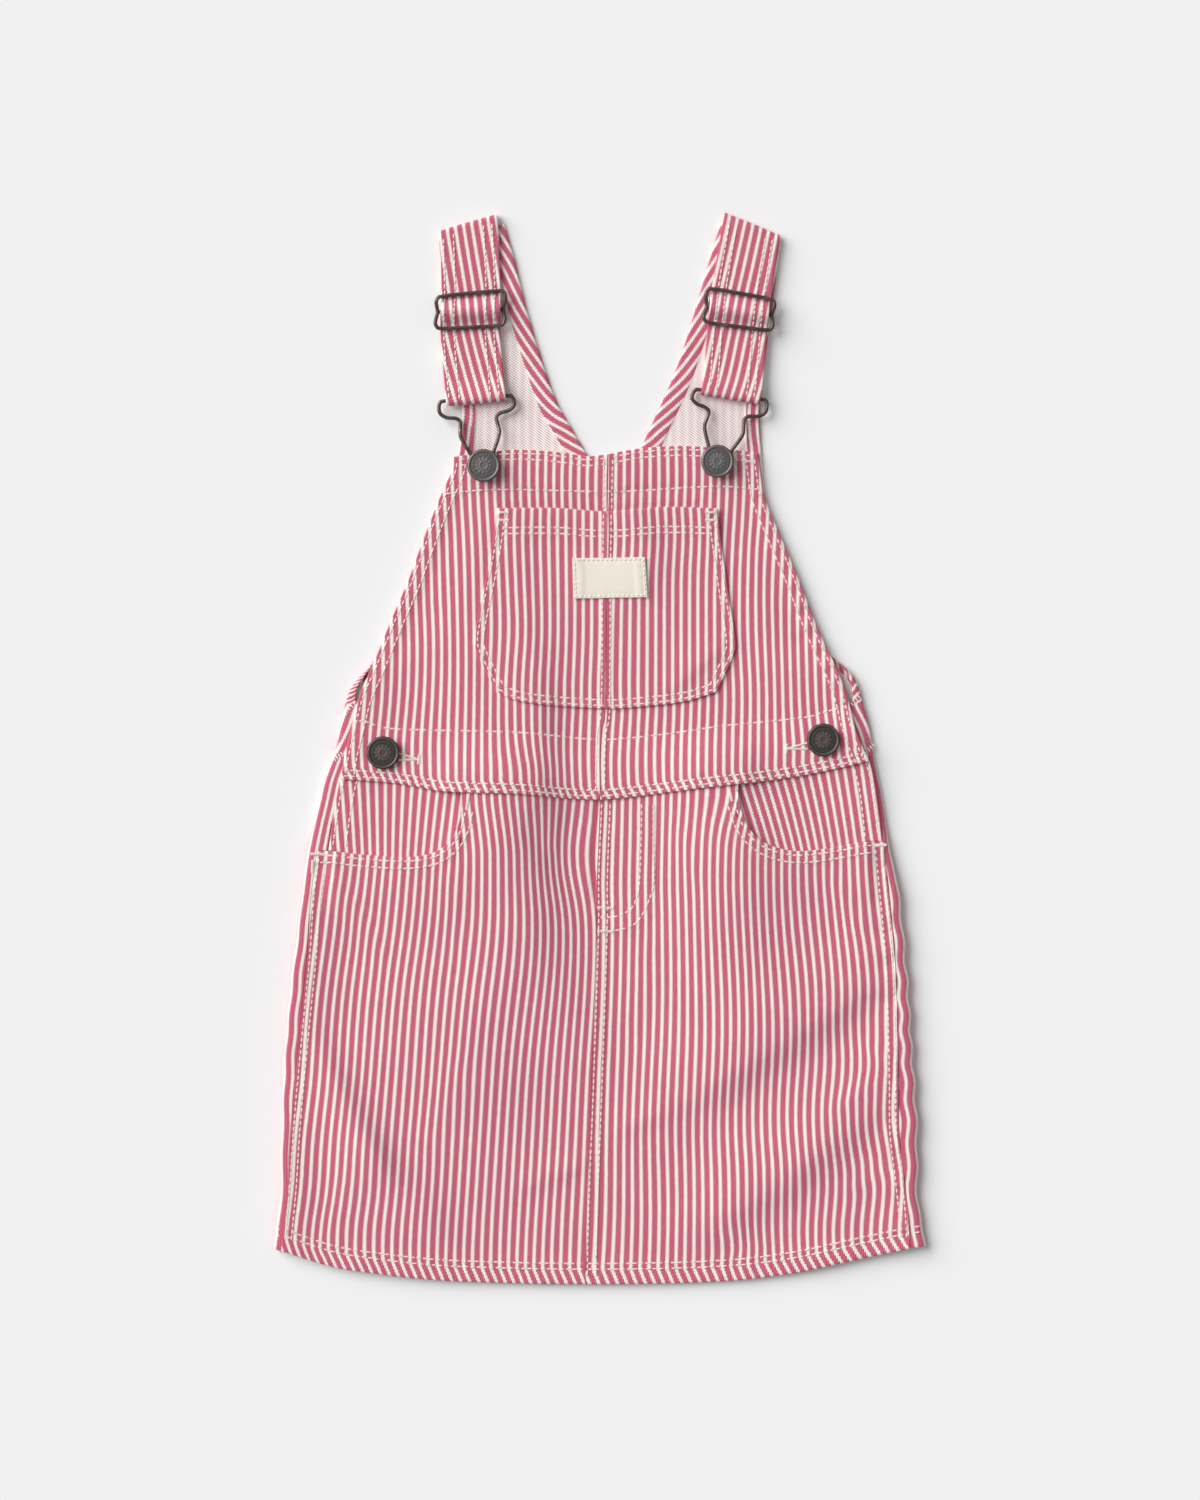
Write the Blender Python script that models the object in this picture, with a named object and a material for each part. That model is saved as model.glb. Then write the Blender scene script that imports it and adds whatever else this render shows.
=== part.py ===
"""A small child's overall skirt, laid flat on its back: a bib and shoulder straps over an A-line skirt.

All sizes below are in millimetres; the meshes are in metres. +X is the right side of the laid-out
garment, +Y points to the shoulders and +Z up from the surface that it lies on. The origin is the
middle of the garment's outline, on that surface.
"""

import math
from collections import namedtuple

import bmesh
import bpy
import numpy as np

MM = 0.001

# Cloth
WALL = 1.2  # one layer of the striped twill
GAP = 0.3  # between pieces that touch or are sewn
LAYER = WALL + GAP
HEM_EXTRA = 0.5  # what a turned and stitched edge adds to the wall
REST = 1.9  # underside of the front where it lies on the back
LAP = 6.0  # how far one piece runs under the next at a lapped seam
WAIST_SPARE = 0.15  # extra room between bib and skirt where the scooped mouths run under the bib
VENT_UNDER = 3.5  # underside of the front where it laps the back's side flap
VENT_FOOT = -34.0  # y down to which the buttoned side opening is lapped
WAIST_BACK = -4.0  # y of the seam between back bodice and back skirt

# Metal
WIRE = 2.0  # diameter of the buckle and slide wire
BUTTON_HEAD = 7.7  # radius
BUTTON_SHANK = 2.4  # radius
BUTTON_THICK = 2.6

# Outline of the rolled sides: y, x of the left and right rolls, radius of the roll
SIDE_COLUMNS = ("y", "left", "right", "radius")
SIDE_ROLLS = (
    (24.0, -119.0, 122.8, 1.6),
    (5.0, -122.7, 127.5, 1.6),
    (-5.0, -125.4, 128.7, 1.6),
    (-15.0, -129.0, 130.7, 1.6),
    (-25.0, -131.3, 132.6, 1.6),
    (-36.0, -134.0, 134.2, 1.7),
    (-48.0, -137.0, 136.2, 2.3),
    (-62.0, -139.4, 139.5, 2.7),
    (-75.0, -141.0, 141.4, 2.8),
    (-100.0, -144.2, 143.8, 2.8),
    (-120.0, -146.4, 145.4, 2.8),
    (-140.0, -148.2, 146.6, 2.8),
    (-160.0, -149.2, 148.0, 2.8),
    (-180.0, -149.8, 149.1, 2.8),
    (-200.0, -150.0, 149.0, 2.7),
    (-215.0, -150.6, 149.6, 2.6),
    (-225.0, -152.0, 151.6, 2.6),
    (-234.0, -153.2, 153.2, 2.6),
)

# Side seams of the front skirt, top to hem: x, y
SEAM_LEFT = (
    (-132.6, -48.0), (-135.4, -70.0), (-137.0, -94.0), (-139.0, -115.0), (-141.2, -138.0),
    (-143.6, -163.0), (-145.2, -183.0), (-146.6, -205.0), (-148.2, -222.0), (-149.4, -235.6),
)
SEAM_RIGHT = (
    (133.2, -44.0), (135.0, -62.0), (136.4, -76.0), (138.4, -100.0), (139.5, -128.0),
    (140.0, -158.0), (140.3, -180.0), (142.4, -198.0), (144.3, -215.0), (145.4, -234.4),
)
# Hem line, left to right: x, y
HEM = (
    (-153.2, -234.4), (-137.0, -240.6), (-113.0, -245.2), (-75.0, -249.6), (-7.0, -251.5),
    (58.0, -250.0), (95.5, -245.4), (116.0, -241.0), (131.0, -237.0), (153.2, -233.2),
)
# Seam between bib and skirt, left to right: x, y
WAIST = (
    (-121.5, -14.5), (-95.0, -16.4), (-79.5, -19.4), (-64.5, -20.6), (-37.5, -21.4), (-14.0, -23.6),
    (0.0, -24.2), (17.0, -22.6), (32.5, -20.6), (48.0, -18.6), (66.0, -16.6), (86.0, -14.2),
    (105.5, -10.8), (126.4, -6.0),
)
# Scooped pocket mouths in the front skirt, from the side seam to under the bib: x, y
SCOOP_LEFT = (
    (-132.6, -48.0), (-124.0, -48.2), (-112.5, -49.6), (-93.0, -50.8), (-80.0, -49.4), (-72.0, -45.0),
    (-67.6, -39.0), (-65.2, -31.0), (-64.2, -22.0), (-63.8, -14.6),
)
SCOOP_RIGHT = (
    (133.2, -44.0), (124.5, -43.6), (110.0, -46.2), (95.5, -48.0), (86.0, -47.2), (76.5, -43.6),
    (69.8, -37.0), (66.0, -28.0), (64.2, -18.0), (63.4, -10.6),
)
# What lies behind the pocket mouths, from the side opening round to under the bib: x, y
FACING_LEFT_EDGE = ((-120.2, -8.6), (-122.6, -18.0), (-124.8, -30.0), (-127.4, -47.4))
FACING_LEFT_FOOT = ((-127.4, -47.4), (-121.5, -47.8), (-114.0, -54.0), (-104.0, -56.6), (-90.0, -57.6),
                    (-75.0, -55.6), (-64.0, -49.0))
FACING_LEFT_INNER = ((-57.6, -15.0), (-58.4, -28.0), (-60.6, -40.0), (-64.0, -49.0))
FACING_RIGHT_EDGE = ((124.6, -0.4), (128.6, -14.0), (130.8, -28.0), (132.4, -43.2))
FACING_RIGHT_FOOT = ((132.4, -43.2), (123.0, -43.4), (116.0, -49.4), (107.0, -53.0), (95.0, -54.8),
                     (82.0, -53.6), (68.0, -46.8))
FACING_RIGHT_INNER = ((57.6, -11.4), (59.0, -26.0), (62.0, -38.0), (68.0, -46.8))

# Bib, top to waist: x, y
BIB_LEFT = (
    (-69.0, 136.8), (-69.8, 130.0), (-75.5, 117.0), (-83.0, 98.0), (-90.0, 79.0), (-98.0, 60.5),
    (-104.0, 45.6), (-108.0, 36.0), (-112.5, 26.0), (-115.0, 17.0), (-117.6, 6.0), (-119.8, -4.0),
    (-121.5, -14.5),
)
BIB_RIGHT = (
    (74.2, 138.8), (75.4, 129.0), (77.6, 117.0), (85.5, 98.0), (93.5, 79.0), (100.6, 60.5),
    (107.0, 46.0), (111.0, 38.0), (116.2, 24.0), (119.0, 12.0), (122.6, 1.6), (126.4, -6.0),
)
BIB_TOP = (
    (-69.0, 136.8), (-47.0, 139.8), (-30.5, 140.0), (-16.5, 138.6), (-5.5, 137.2), (4.0, 138.2),
    (18.0, 140.8), (36.0, 142.0), (50.5, 141.4), (74.2, 138.8),
)
CENTRE_SEAM = (
    (4.0, 138.2), (3.5, 110.0), (3.0, 64.0), (2.6, 18.5), (0.6, 5.0), (0.0, -24.2),
    (-1.4, -60.0), (-1.6, -88.0), (-4.0, -160.0), (-6.0, -212.0), (-7.0, -251.5),
)
BIB_HEM = 6.5  # width of the stitched edge round the armholes
BIB_BAND = 17.0  # depth of the facing along the top

# Patch pocket on the bib, down each side and along the foot: x, y
POCKET_TOP = ((-48.4, 112.6), (-21.0, 112.8), (3.6, 111.2), (29.5, 113.2), (55.0, 112.6))
POCKET_LEFT = (
    (-48.4, 112.6), (-50.2, 98.0), (-53.0, 82.0), (-56.4, 66.0), (-58.8, 51.0), (-56.6, 42.6), (-48.4, 26.6),
)
POCKET_RIGHT = ((55.0, 112.6), (57.0, 96.0), (60.0, 75.0), (63.4, 52.0), (62.4, 43.4), (54.6, 26.6))
POCKET_FOOT = (
    (-48.4, 26.6), (-39.0, 22.4), (-21.0, 20.0), (2.6, 18.6), (18.0, 19.4), (40.0, 22.0), (54.6, 26.6),
)
LABEL_CORNERS = ((-13.0, 89.2), (21.2, 89.6), (22.4, 70.8), (-12.4, 70.2))
LABEL_WALL = 0.8

# Back bodice: each row runs from the centre back or neckline to the side or armhole, where the cloth
# turns up through a sweep in degrees and ends in a lip
BackRow = namedtuple("BackRow", "inner_x inner_y outer_x outer_y sweep lip")
BACK_LEFT_ROWS = (
    (0.2, -3.7, -125.0, -3.7, 180.0, 9.0),
    (0.5, 8.0, -122.0, 8.0, 180.0, 8.5),
    (0.8, 18.0, -120.2, 18.0, 180.0, 7.5),
    (1.0, 23.0, -119.0, 23.0, 180.0, 2.6),
    (1.2, 28.0, -117.2, 28.0, 172.0, 1.6),
    (1.4, 33.0, -113.4, 33.0, 150.0, 1.2),
    (1.6, 38.0, -108.8, 38.0, 118.0, 0.8),
    (1.8, 43.0, -105.0, 43.0, 60.0, 0.4),
    (2.0, 50.0, -100.6, 50.0, 0.0, 0.0),
    (2.4, 70.0, -91.8, 70.0, 0.0, 0.0),
    (2.9, 95.0, -82.4, 95.0, 0.0, 0.0),
    (3.3, 118.0, -73.4, 118.0, 0.0, 0.0),
    (3.5, 128.0, -68.6, 128.0, 0.0, 0.0),
    (-1.8, 131.4, -67.0, 132.6, 0.0, 0.0),
    (-7.2, 140.0, -66.2, 140.0, 0.0, 0.0),
    (-14.0, 151.6, -65.6, 150.0, 0.0, 0.0),
    (-21.0, 164.5, -65.2, 160.5, 0.0, 0.0),
    (-29.0, 188.0, -67.6, 181.0, 0.0, 0.0),
    (-35.0, 208.5, -70.8, 201.0, 0.0, 0.0),
    (-39.6, 228.0, -73.4, 219.0, 0.0, 0.0),
    (-43.6, 242.0, -75.2, 233.4, 0.0, 0.0),
    (-44.9, 246.5, -75.4, 238.4, 0.0, 0.0),
)
BACK_RIGHT_ROWS = (
    (0.5, -3.7, 128.4, -3.7, 180.0, 8.0),
    (0.8, 8.0, 126.8, 8.0, 180.0, 8.0),
    (1.1, 18.0, 124.4, 18.0, 180.0, 7.5),
    (1.3, 23.0, 123.0, 23.0, 180.0, 2.6),
    (1.5, 28.0, 121.6, 28.0, 176.0, 1.8),
    (1.7, 33.0, 119.6, 33.0, 160.0, 1.4),
    (1.9, 38.0, 115.4, 38.0, 130.0, 1.0),
    (2.1, 43.0, 109.6, 43.0, 60.0, 0.4),
    (2.3, 50.0, 103.0, 50.0, 0.0, 0.0),
    (2.7, 70.0, 94.6, 70.0, 0.0, 0.0),
    (3.2, 95.0, 84.6, 95.0, 0.0, 0.0),
    (3.6, 118.0, 77.6, 118.0, 0.0, 0.0),
    (3.8, 128.0, 76.8, 126.0, 0.0, 0.0),
    (9.4, 131.4, 76.2, 133.0, 0.0, 0.0),
    (18.6, 141.0, 75.8, 140.0, 0.0, 0.0),
    (25.0, 154.0, 75.2, 150.0, 0.0, 0.0),
    (31.0, 167.0, 75.2, 160.5, 0.0, 0.0),
    (36.4, 180.0, 76.6, 174.0, 0.0, 0.0),
    (43.0, 200.5, 78.8, 192.0, 0.0, 0.0),
    (50.4, 226.0, 82.0, 215.0, 0.0, 0.0),
    (55.2, 242.0, 84.0, 231.0, 0.0, 0.0),
    (57.0, 247.0, 84.4, 236.4, 0.0, 0.0),
)

# Front run of each strap, from the fold at the shoulder to the fold round the buckle: x, y down each
# edge, and where the middle bar of the slide crosses the two edges
STRAP_EDGES = {
    "left": (
        ((-75.6, 242.6), (-74.6, 228.0), (-74.4, 214.0), (-75.4, 196.0), (-74.0, 178.5), (-71.6, 160.4)),
        ((-47.6, 250.8), (-47.2, 231.0), (-46.4, 214.5), (-46.4, 198.5), (-45.2, 177.0), (-44.4, 162.8)),
    ),
    "right": (
        ((58.6, 251.2), (55.0, 228.0), (52.0, 213.5), (49.2, 195.0), (47.6, 180.0), (46.6, 165.8)),
        ((84.4, 240.6), (81.6, 226.5), (80.0, 214.0), (79.0, 190.0), (78.0, 172.5), (75.4, 161.2)),
    ),
}
SLIDE_LEVELS = {"left": (204.7, 205.9), "right": (207.1, 203.5)}
STRAP_LENGTH = 86.0  # along the middle, fold to fold
SLIDE_AT = 41.5  # from the shoulder fold to the middle bar of the slide
SLIDE_HALF = 8.1  # from the middle bar to the outer bars
SLIDE_WIDE = 16.3  # from the strap's middle to the side wires
HOOK_AT = STRAP_LENGTH - 2.5

# Wire of the left and right buckles below the bar, in the strap's own frame: across, along from the bar
HOOK_WIRE = (
    (16.6, 0.0), (17.6, 2.2), (17.4, 5.4), (14.6, 7.6), (10.6, 8.4), (8.6, 10.2), (8.8, 13.6),
    (9.2, 17.4), (7.8, 21.6), (5.6, 26.4), (4.5, 30.6), (4.3, 33.8), (2.7, 36.4), (0.0, 37.2),
)
BIB_BUTTONS = {"left": (-54.5, 132.5), "right": (55.0, 134.5)}
SIDE_BUTTONS = {"left": (-101.5, -2.0), "right": (104.5, 4.0)}

# Soft folds of the front: each is a ridge from one point to another with a gentle and a steep side.
# The first reach is on the right hand of someone going along it, the second on the left hand.
Fold = namedtuple("Fold", "x0 y0 x1 y1 reach_right reach_left height")
FOLDS = (
    (-140.0, -130.0, -106.0, -204.0, 15.0, 9.0, 2.1),
    (-42.0, 34.0, -50.0, -112.0, 26.0, 22.0, 1.5),
    (-27.0, 8.0, -25.0, -20.0, 5.0, 5.0, -0.8),
    (-40.0, -30.0, -15.0, -60.0, 4.0, 5.0, -1.1),
    (130.0, -108.0, 46.0, -160.0, 26.0, 9.0, 2.2),
    (134.0, -164.0, 56.0, -220.0, 20.0, 9.0, 2.3),
    (60.0, -50.0, 65.0, -100.0, 22.0, 14.0, 1.2),
    (-10.0, -196.0, -34.0, -205.0, 8.0, 5.0, 0.8),
    (28.0, -171.0, 12.0, -178.0, 8.0, 5.0, 0.7),
    (-88.0, 70.0, -92.0, 6.0, 14.0, 14.0, 0.7),
    (86.0, 74.0, 92.0, 16.0, 12.0, 12.0, 0.7),
)
POCKET_FOLDS = (
    (17.0, 112.0, 26.0, 84.0, 16.0, 10.0, 0.9),
    (54.0, 44.0, 36.0, 30.0, 8.0, 4.0, 0.7),
    (-31.0, 72.0, -30.0, 44.0, 8.0, 4.0, 0.6),
)

COLOURS = {
    "cloth": ((0.62, 0.30, 0.35, 1.0), 0.9, 0.0),
    "label": ((0.82, 0.78, 0.68, 1.0), 0.85, 0.0),
    "wire": ((0.10, 0.07, 0.06, 1.0), 0.45, 0.9),
    "button": ((0.09, 0.085, 0.085, 1.0), 0.5, 0.85),
}


def clear_scene():
    for thing in list(bpy.data.objects):
        bpy.data.objects.remove(thing)


def material(kind):
    made = bpy.data.materials.get(kind)
    if made is None:
        made = bpy.data.materials.new(kind)
        made.use_nodes = True
        colour, roughness, metallic = COLOURS[kind]
        shader = made.node_tree.nodes["Principled BSDF"]
        shader.inputs["Base Color"].default_value = colour
        shader.inputs["Roughness"].default_value = roughness
        shader.inputs["Metallic"].default_value = metallic
    return made


def add_mesh(name, points, faces, kind):
    """One closed solid from points in millimetres, with its faces turned outwards."""
    shape = bmesh.new()
    corners = [shape.verts.new(point) for point in np.asarray(points, float) * MM]
    for face in faces:
        shape.faces.new([corners[i] for i in face])
    bmesh.ops.recalc_face_normals(shape, faces=shape.faces)
    mesh = bpy.data.meshes.new(name)
    shape.to_mesh(mesh)
    shape.free()
    mesh.shade_smooth()
    mesh.set_sharp_from_angle(angle=math.radians(35))
    mesh.materials.append(material(kind))
    thing = bpy.data.objects.new(name, mesh)
    bpy.context.scene.collection.objects.link(thing)
    return thing


def wall(name, outside, inside, kind="cloth"):
    """A sheet of cloth as a closed wall between two grids of points, rows by columns by xyz."""
    rows, columns = outside.shape[:2]
    count = rows * columns
    points = np.concatenate([outside.reshape(-1, 3), inside.reshape(-1, 3)])

    def at(row, column, side):
        return side * count + row * columns + column

    faces = []
    for side in (0, 1):
        for r in range(rows - 1):
            for c in range(columns - 1):
                faces.append([at(r, c, side), at(r, c + 1, side), at(r + 1, c + 1, side), at(r + 1, c, side)])
    for r in range(rows - 1):
        for c in (0, columns - 1):
            faces.append([at(r, c, 0), at(r + 1, c, 0), at(r + 1, c, 1), at(r, c, 1)])
    for c in range(columns - 1):
        for r in (0, rows - 1):
            faces.append([at(r, c, 0), at(r, c + 1, 0), at(r, c + 1, 1), at(r, c, 1)])
    return add_mesh(name, points, faces, kind)


def smooth_step(value):
    value = np.clip(value, 0.0, 1.0)
    return value * value * (3.0 - 2.0 * value)


def dense(points, each=12):
    """A smooth curve through the points (Catmull-Rom), as many short steps."""
    points = np.asarray(points, float)
    before = np.vstack([2 * points[0] - points[1], points, 2 * points[-1] - points[-2]])
    steps = np.linspace(0.0, 1.0, each, endpoint=False)[:, None]
    runs = []
    for a, b, c, d in zip(before[:-3], before[1:-2], before[2:-1], before[3:]):
        runs.append(
            0.5 * (2 * b + (c - a) * steps + (2 * a - 5 * b + 4 * c - d) * steps**2
                   + (3 * b - a - 3 * c + d) * steps**3)
        )
    return np.vstack(runs + [points[-1:]])


def along(points, fractions):
    """Points at these fractions of the length of the smooth curve through the given points."""
    line = dense(points)
    reach = np.concatenate([[0.0], np.cumsum(np.linalg.norm(np.diff(line, axis=0), axis=1))])
    at = np.asarray(fractions, float) * reach[-1]
    return np.stack([np.interp(at, reach, line[:, axis]) for axis in range(line.shape[1])], axis=-1)


def height_on(points, x):
    """y of a left-to-right curve at x."""
    line = dense(points)
    return np.interp(x, line[:, 0], line[:, 1])


def across_at(points, y):
    """x of a top-to-bottom curve at y."""
    line = dense(points)[::-1]
    return np.interp(y, line[:, 1], line[:, 0])


def side_value(column, y):
    """A value of the rolled sides at y, from their table."""
    rows = np.array(SIDE_ROLLS)[::-1]
    line = dense(rows[:, [0, SIDE_COLUMNS.index(column)]])
    return np.interp(y, line[:, 0], line[:, 1])


def distance_to(points, x, y):
    """Distance in plan from each (x, y) to a curve."""
    line = dense(points, each=6)
    spot = np.stack([x, y], axis=-1)[..., None, :]
    start, step = line[:-1], np.diff(line, axis=0)
    share = ((spot - start) * step).sum(-1) / np.maximum((step**2).sum(-1), 1e-9)
    nearest = start + np.clip(share, 0.0, 1.0)[..., None] * step
    return np.linalg.norm(spot - nearest, axis=-1).min(-1)


def coons(left, right, top, foot, across, down):
    """A patch between four edges: left and right run down, top and foot run from left to right."""
    u, v = np.asarray(across)[None, :, None], np.asarray(down)[:, None, None]
    side_a, side_b = along(left, down)[:, None], along(right, down)[:, None]
    edge_a, edge_b = along(top, across)[None], along(foot, across)[None]
    corners = (
        (1 - u) * (1 - v) * edge_a[:, :1] + u * (1 - v) * edge_a[:, -1:]
        + (1 - u) * v * edge_b[:, :1] + u * v * edge_b[:, -1:]
    )
    return (1 - u) * side_a + u * side_b + (1 - v) * edge_a + v * edge_b - corners


def part_of(points, low, high, count=9):
    """A stretch of the smooth curve through the points, between two fractions of its length."""
    return along(points, np.linspace(low, high, count))


def split_at(points, x):
    """Fraction of a left-to-right curve's length at x."""
    line = dense(points)
    reach = np.concatenate([[0.0], np.cumsum(np.linalg.norm(np.diff(line, axis=0), axis=1))])
    return np.interp(x, line[:, 0], reach) / reach[-1]


# ---- heights of the layers


def fold_height(x, y, folds=FOLDS):
    """Each fold is a ridge (or trough) between two points that fades at its ends and sides."""
    total = np.zeros_like(x)
    for fold in map(Fold._make, folds):
        dx, dy = fold.x1 - fold.x0, fold.y1 - fold.y0
        length = math.hypot(dx, dy)
        run = ((x - fold.x0) * dx + (y - fold.y0) * dy) / length
        off = ((x - fold.x0) * dy - (y - fold.y0) * dx) / length
        reach = np.where(off > 0, fold.reach_right, fold.reach_left)
        fade = 0.8 * (fold.reach_right + fold.reach_left)
        past = np.maximum(0.0, np.abs(run - length / 2) - length / 2 + 0.4 * fade)
        total = total + fold.height * np.exp(-((off / reach) ** 2) - (past / fade) ** 2)
    return np.maximum(total, -0.3)


def front_under(x, y):
    """Underside of the lowest front layer: it lies on the back and climbs onto the sides' rolls."""
    radius = side_value("radius", y)
    lapped = smooth_step((y - VENT_FOOT + 14.0) / 12.0)
    over_armhole = smooth_step((y - 35.0) / 18.0)
    edge = lapped * VENT_UNDER + (1 - lapped) * np.maximum(2 * radius - WALL, REST)
    edge = edge + (REST - edge) * over_armhole
    left = np.where(y < -48.0, across_at(SEAM_LEFT, y), across_at(BIB_LEFT, np.maximum(y, -14.5)))
    right = np.where(y < -44.0, across_at(SEAM_RIGHT, y), across_at(BIB_RIGHT, np.maximum(y, -6.0)))
    left = np.where((y < -14.5) & (y >= -48.0), across_at(FACING_LEFT_EDGE, y), left)
    right = np.where((y < -6.0) & (y >= -44.0), across_at(FACING_RIGHT_EDGE, y), right)
    inward = np.minimum(x - left, right - x)
    plateau = 9.0 * lapped
    near = 1 - smooth_step((inward - plateau) / 22.0)
    return REST + (edge - REST) * near + fold_height(x, y) * (1 - 0.8 * near)


def scoop_lift(x, y):
    """How much the front skirt is lifted by what lies behind its pocket mouths."""
    lift = np.zeros_like(x)
    for scoop, sign, corner in ((SCOOP_LEFT, -1, 123.5), (SCOOP_RIGHT, 1, 124.5)):
        near = 1 - smooth_step((distance_to(scoop, x, y) - 9.0) / 36.0)
        taper = 1 - smooth_step((sign * x - corner) / 6.0)
        lift = np.maximum(lift, near * taper)
    return (LAYER + HEM_EXTRA) * lift


def skirt_under(x, y):
    return front_under(x, y) + scoop_lift(x, y)


def waist_wall(x, y):
    """Cloth that is thicker where it is sewn into the waist seam."""
    return WALL + HEM_EXTRA * smooth_step((y - height_on(WAIST, x) + 8.0) / 5.0)


def bib_under(x, y):
    """Underside of the bib, which laps the skirt and the pocket facings at the waist."""
    above = y - height_on(WAIST, x)
    lap = 1 - smooth_step((above - LAP - 3.0) / 22.0)
    return front_under(x, y) + (LAYER + HEM_EXTRA + WAIST_SPARE + scoop_lift(x, y)) * lap


def bib_wall(x, y):
    """The bib's wall, thicker along its stitched armhole edges, top band and waist edge."""
    edge = np.minimum(x - across_at(BIB_LEFT, y), across_at(BIB_RIGHT, y) - x)
    band = height_on(BIB_TOP, x) - y
    waist = y - height_on(WAIST, x)
    extra = np.maximum(1 - smooth_step((edge - BIB_HEM) / 2.5), 1 - smooth_step((band - BIB_BAND) / 2.5))
    extra = np.maximum(extra, 1 - smooth_step((waist - 7.5) / 2.5))
    return WALL + HEM_EXTRA * extra


def bib_top(x, y):
    return bib_under(x, y) + bib_wall(x, y)


def pocket_under(x, y):
    """The patch pocket lies on the bib and stands a little off it at its mouth and folds."""
    mouth = 1 - smooth_step((height_on(POCKET_TOP, x) - y) / 16.0)
    return bib_top(x, y) + GAP + 0.6 * mouth + np.maximum(fold_height(x, y, POCKET_FOLDS), 0.0)


def pocket_wall(x, y):
    band = height_on(POCKET_TOP, x) - y
    return WALL + HEM_EXTRA * (1 - smooth_step((band - 12.0) / 2.5))


def slab(name, plan, under, thick, kind="cloth"):
    """A piece of cloth on what is below it, from plan points and functions for its underside and wall."""
    x, y = plan[..., 0], plan[..., 1]
    low = under(x, y)
    high = low + thick(x, y)
    return wall(name, np.dstack([x, y, high]), np.dstack([x, y, low]), kind)


# ---- pieces


def graded(first, count, last=1.0):
    """Fractions from 0 to 1: a few close ones at the start, then an even run."""
    return np.concatenate([[0.0], first, np.linspace(first[-1], last, count + 1)[1:]])


# rows of the front skirt, as shares of its length: closer at the waist and along the hem's stitching
FRONT_ROWS = np.concatenate([graded([0.03], 19, 0.95), [0.965, 1.0]])


def make_skirt_front(side):
    """Half of the front skirt, with its scooped pocket mouth, down to the turned hem."""
    left = side == "left"
    scoop, seam = (SCOOP_LEFT, SEAM_LEFT) if left else (SCOOP_RIGHT, SEAM_RIGHT)
    sign = -1 if left else 1
    centre = [p for p in CENTRE_SEAM if p[1] < -20.0]
    head_y = centre[0][1] + LAP
    half = [(x + sign * GAP / 2, y) for x, y in [(centre[0][0], head_y)] + centre]
    inner = scoop[-1][0]
    tops = [(x, height_on(WAIST, x) + LAP) for x in np.linspace(inner, half[0][0], 5)[1:]]
    top = list(scoop) + tops
    hem_x = np.linspace(seam[-1][0], half[-1][0], 7)
    foot = [(x, height_on(HEM, x)) for x in hem_x]
    foot[0], foot[-1] = seam[-1], half[-1]
    seam = [(x - sign * GAP / 2, y) for x, y in seam]
    top[0], foot[0] = seam[0], seam[-1]
    top[-1] = half[0]
    across = graded([0.03, 0.055], 17)
    plan = coons(seam, half, top, foot, across, FRONT_ROWS)

    def thick(x, y):
        hem = 1 - smooth_step((y - height_on(HEM, x) - 9.5) / 2.0)
        mouth = 1 - smooth_step((distance_to(scoop, x, y) - 7.0) / 2.0)
        fly = smooth_step((24.0 - x) / 3.0) * smooth_step((y + 85.0) / 3.0) * (x > -3.0) * (not left)
        mouth = mouth * smooth_step((height_on(WAIST, x) - y) / 4.0)
        return waist_wall(x, y) + HEM_EXTRA * np.maximum(np.maximum(hem, mouth), fly * (y < -30.0))

    slab("skirt_front_" + side, plan, skirt_under, thick)


def make_pocket_facing(side):
    """The piece of skirt seen inside a pocket mouth; it runs on under the mouth and the bib."""
    left = side == "left"
    edge = FACING_LEFT_EDGE if left else FACING_RIGHT_EDGE
    foot = FACING_LEFT_FOOT if left else FACING_RIGHT_FOOT
    inner = FACING_LEFT_INNER if left else FACING_RIGHT_INNER
    head = [(x, height_on(WAIST, x) + LAP) for x in np.linspace(edge[0][0], inner[0][0], 7)]
    head[0], head[-1] = edge[0], inner[0]
    plan = coons(edge, inner, head, foot, np.linspace(0, 1, 12), np.linspace(0, 1, 7))
    slab("pocket_facing_" + side, plan, front_under, waist_wall)


def rolled_sheet(name, rows, level_of, turns=7):
    """A back piece: flat on the surface, rolled up at the side and laid back over itself.

    Each row gives the flat start and the side's roll in plan, the roll's radius, how far round it
    turns in degrees, and the length of the flap that runs back from it. Where level_of is given, it
    bends the rows: it takes x and the row's y and returns y."""
    outside, inside = [], []
    for start, roll, radius, sweep, flap in rows:
        start, roll = np.asarray(start, float), np.asarray(roll, float)
        direction = (roll - start) / np.linalg.norm(roll - start)
        reach = np.linalg.norm(roll - start) - (radius if sweep > 0 else 0.0)
        outer, inner = [], []
        for share in (0.0, 0.04, 0.25, 0.5, 0.75, 0.93, 1.0):
            outer.append((share * reach, 0.0))
            inner.append((share * reach, WALL))
        angle = math.radians(sweep)
        for step in range(1, turns + 1):
            turn = angle * step / turns
            outer.append((reach + radius * math.sin(turn), radius * (1 - math.cos(turn))))
            inner_radius = radius - WALL
            inner.append((reach + inner_radius * math.sin(turn), WALL + inner_radius * (1 - math.cos(turn))))
        for share in (0.5, 1.0):
            step = max(flap, 0.02 * share)
            dx, dz = step * share * math.cos(angle), step * share * math.sin(angle)
            outer.append((outer[turns + 6][0] + dx, outer[turns + 6][1] + dz))
            inner.append((inner[turns + 6][0] + dx, inner[turns + 6][1] + dz))
        for profile, grid in ((outer, outside), (inner, inside)):
            plan = start + np.array([run for run, _ in profile])[:, None] * direction
            heights = np.array([height for _, height in profile])
            level = plan[:, 1] if level_of is None else level_of(plan[:, 0], roll[1])
            grid.append(np.column_stack([plan[:, 0], level, heights]))
    return wall(name, np.array(outside), np.array(inside))


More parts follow.
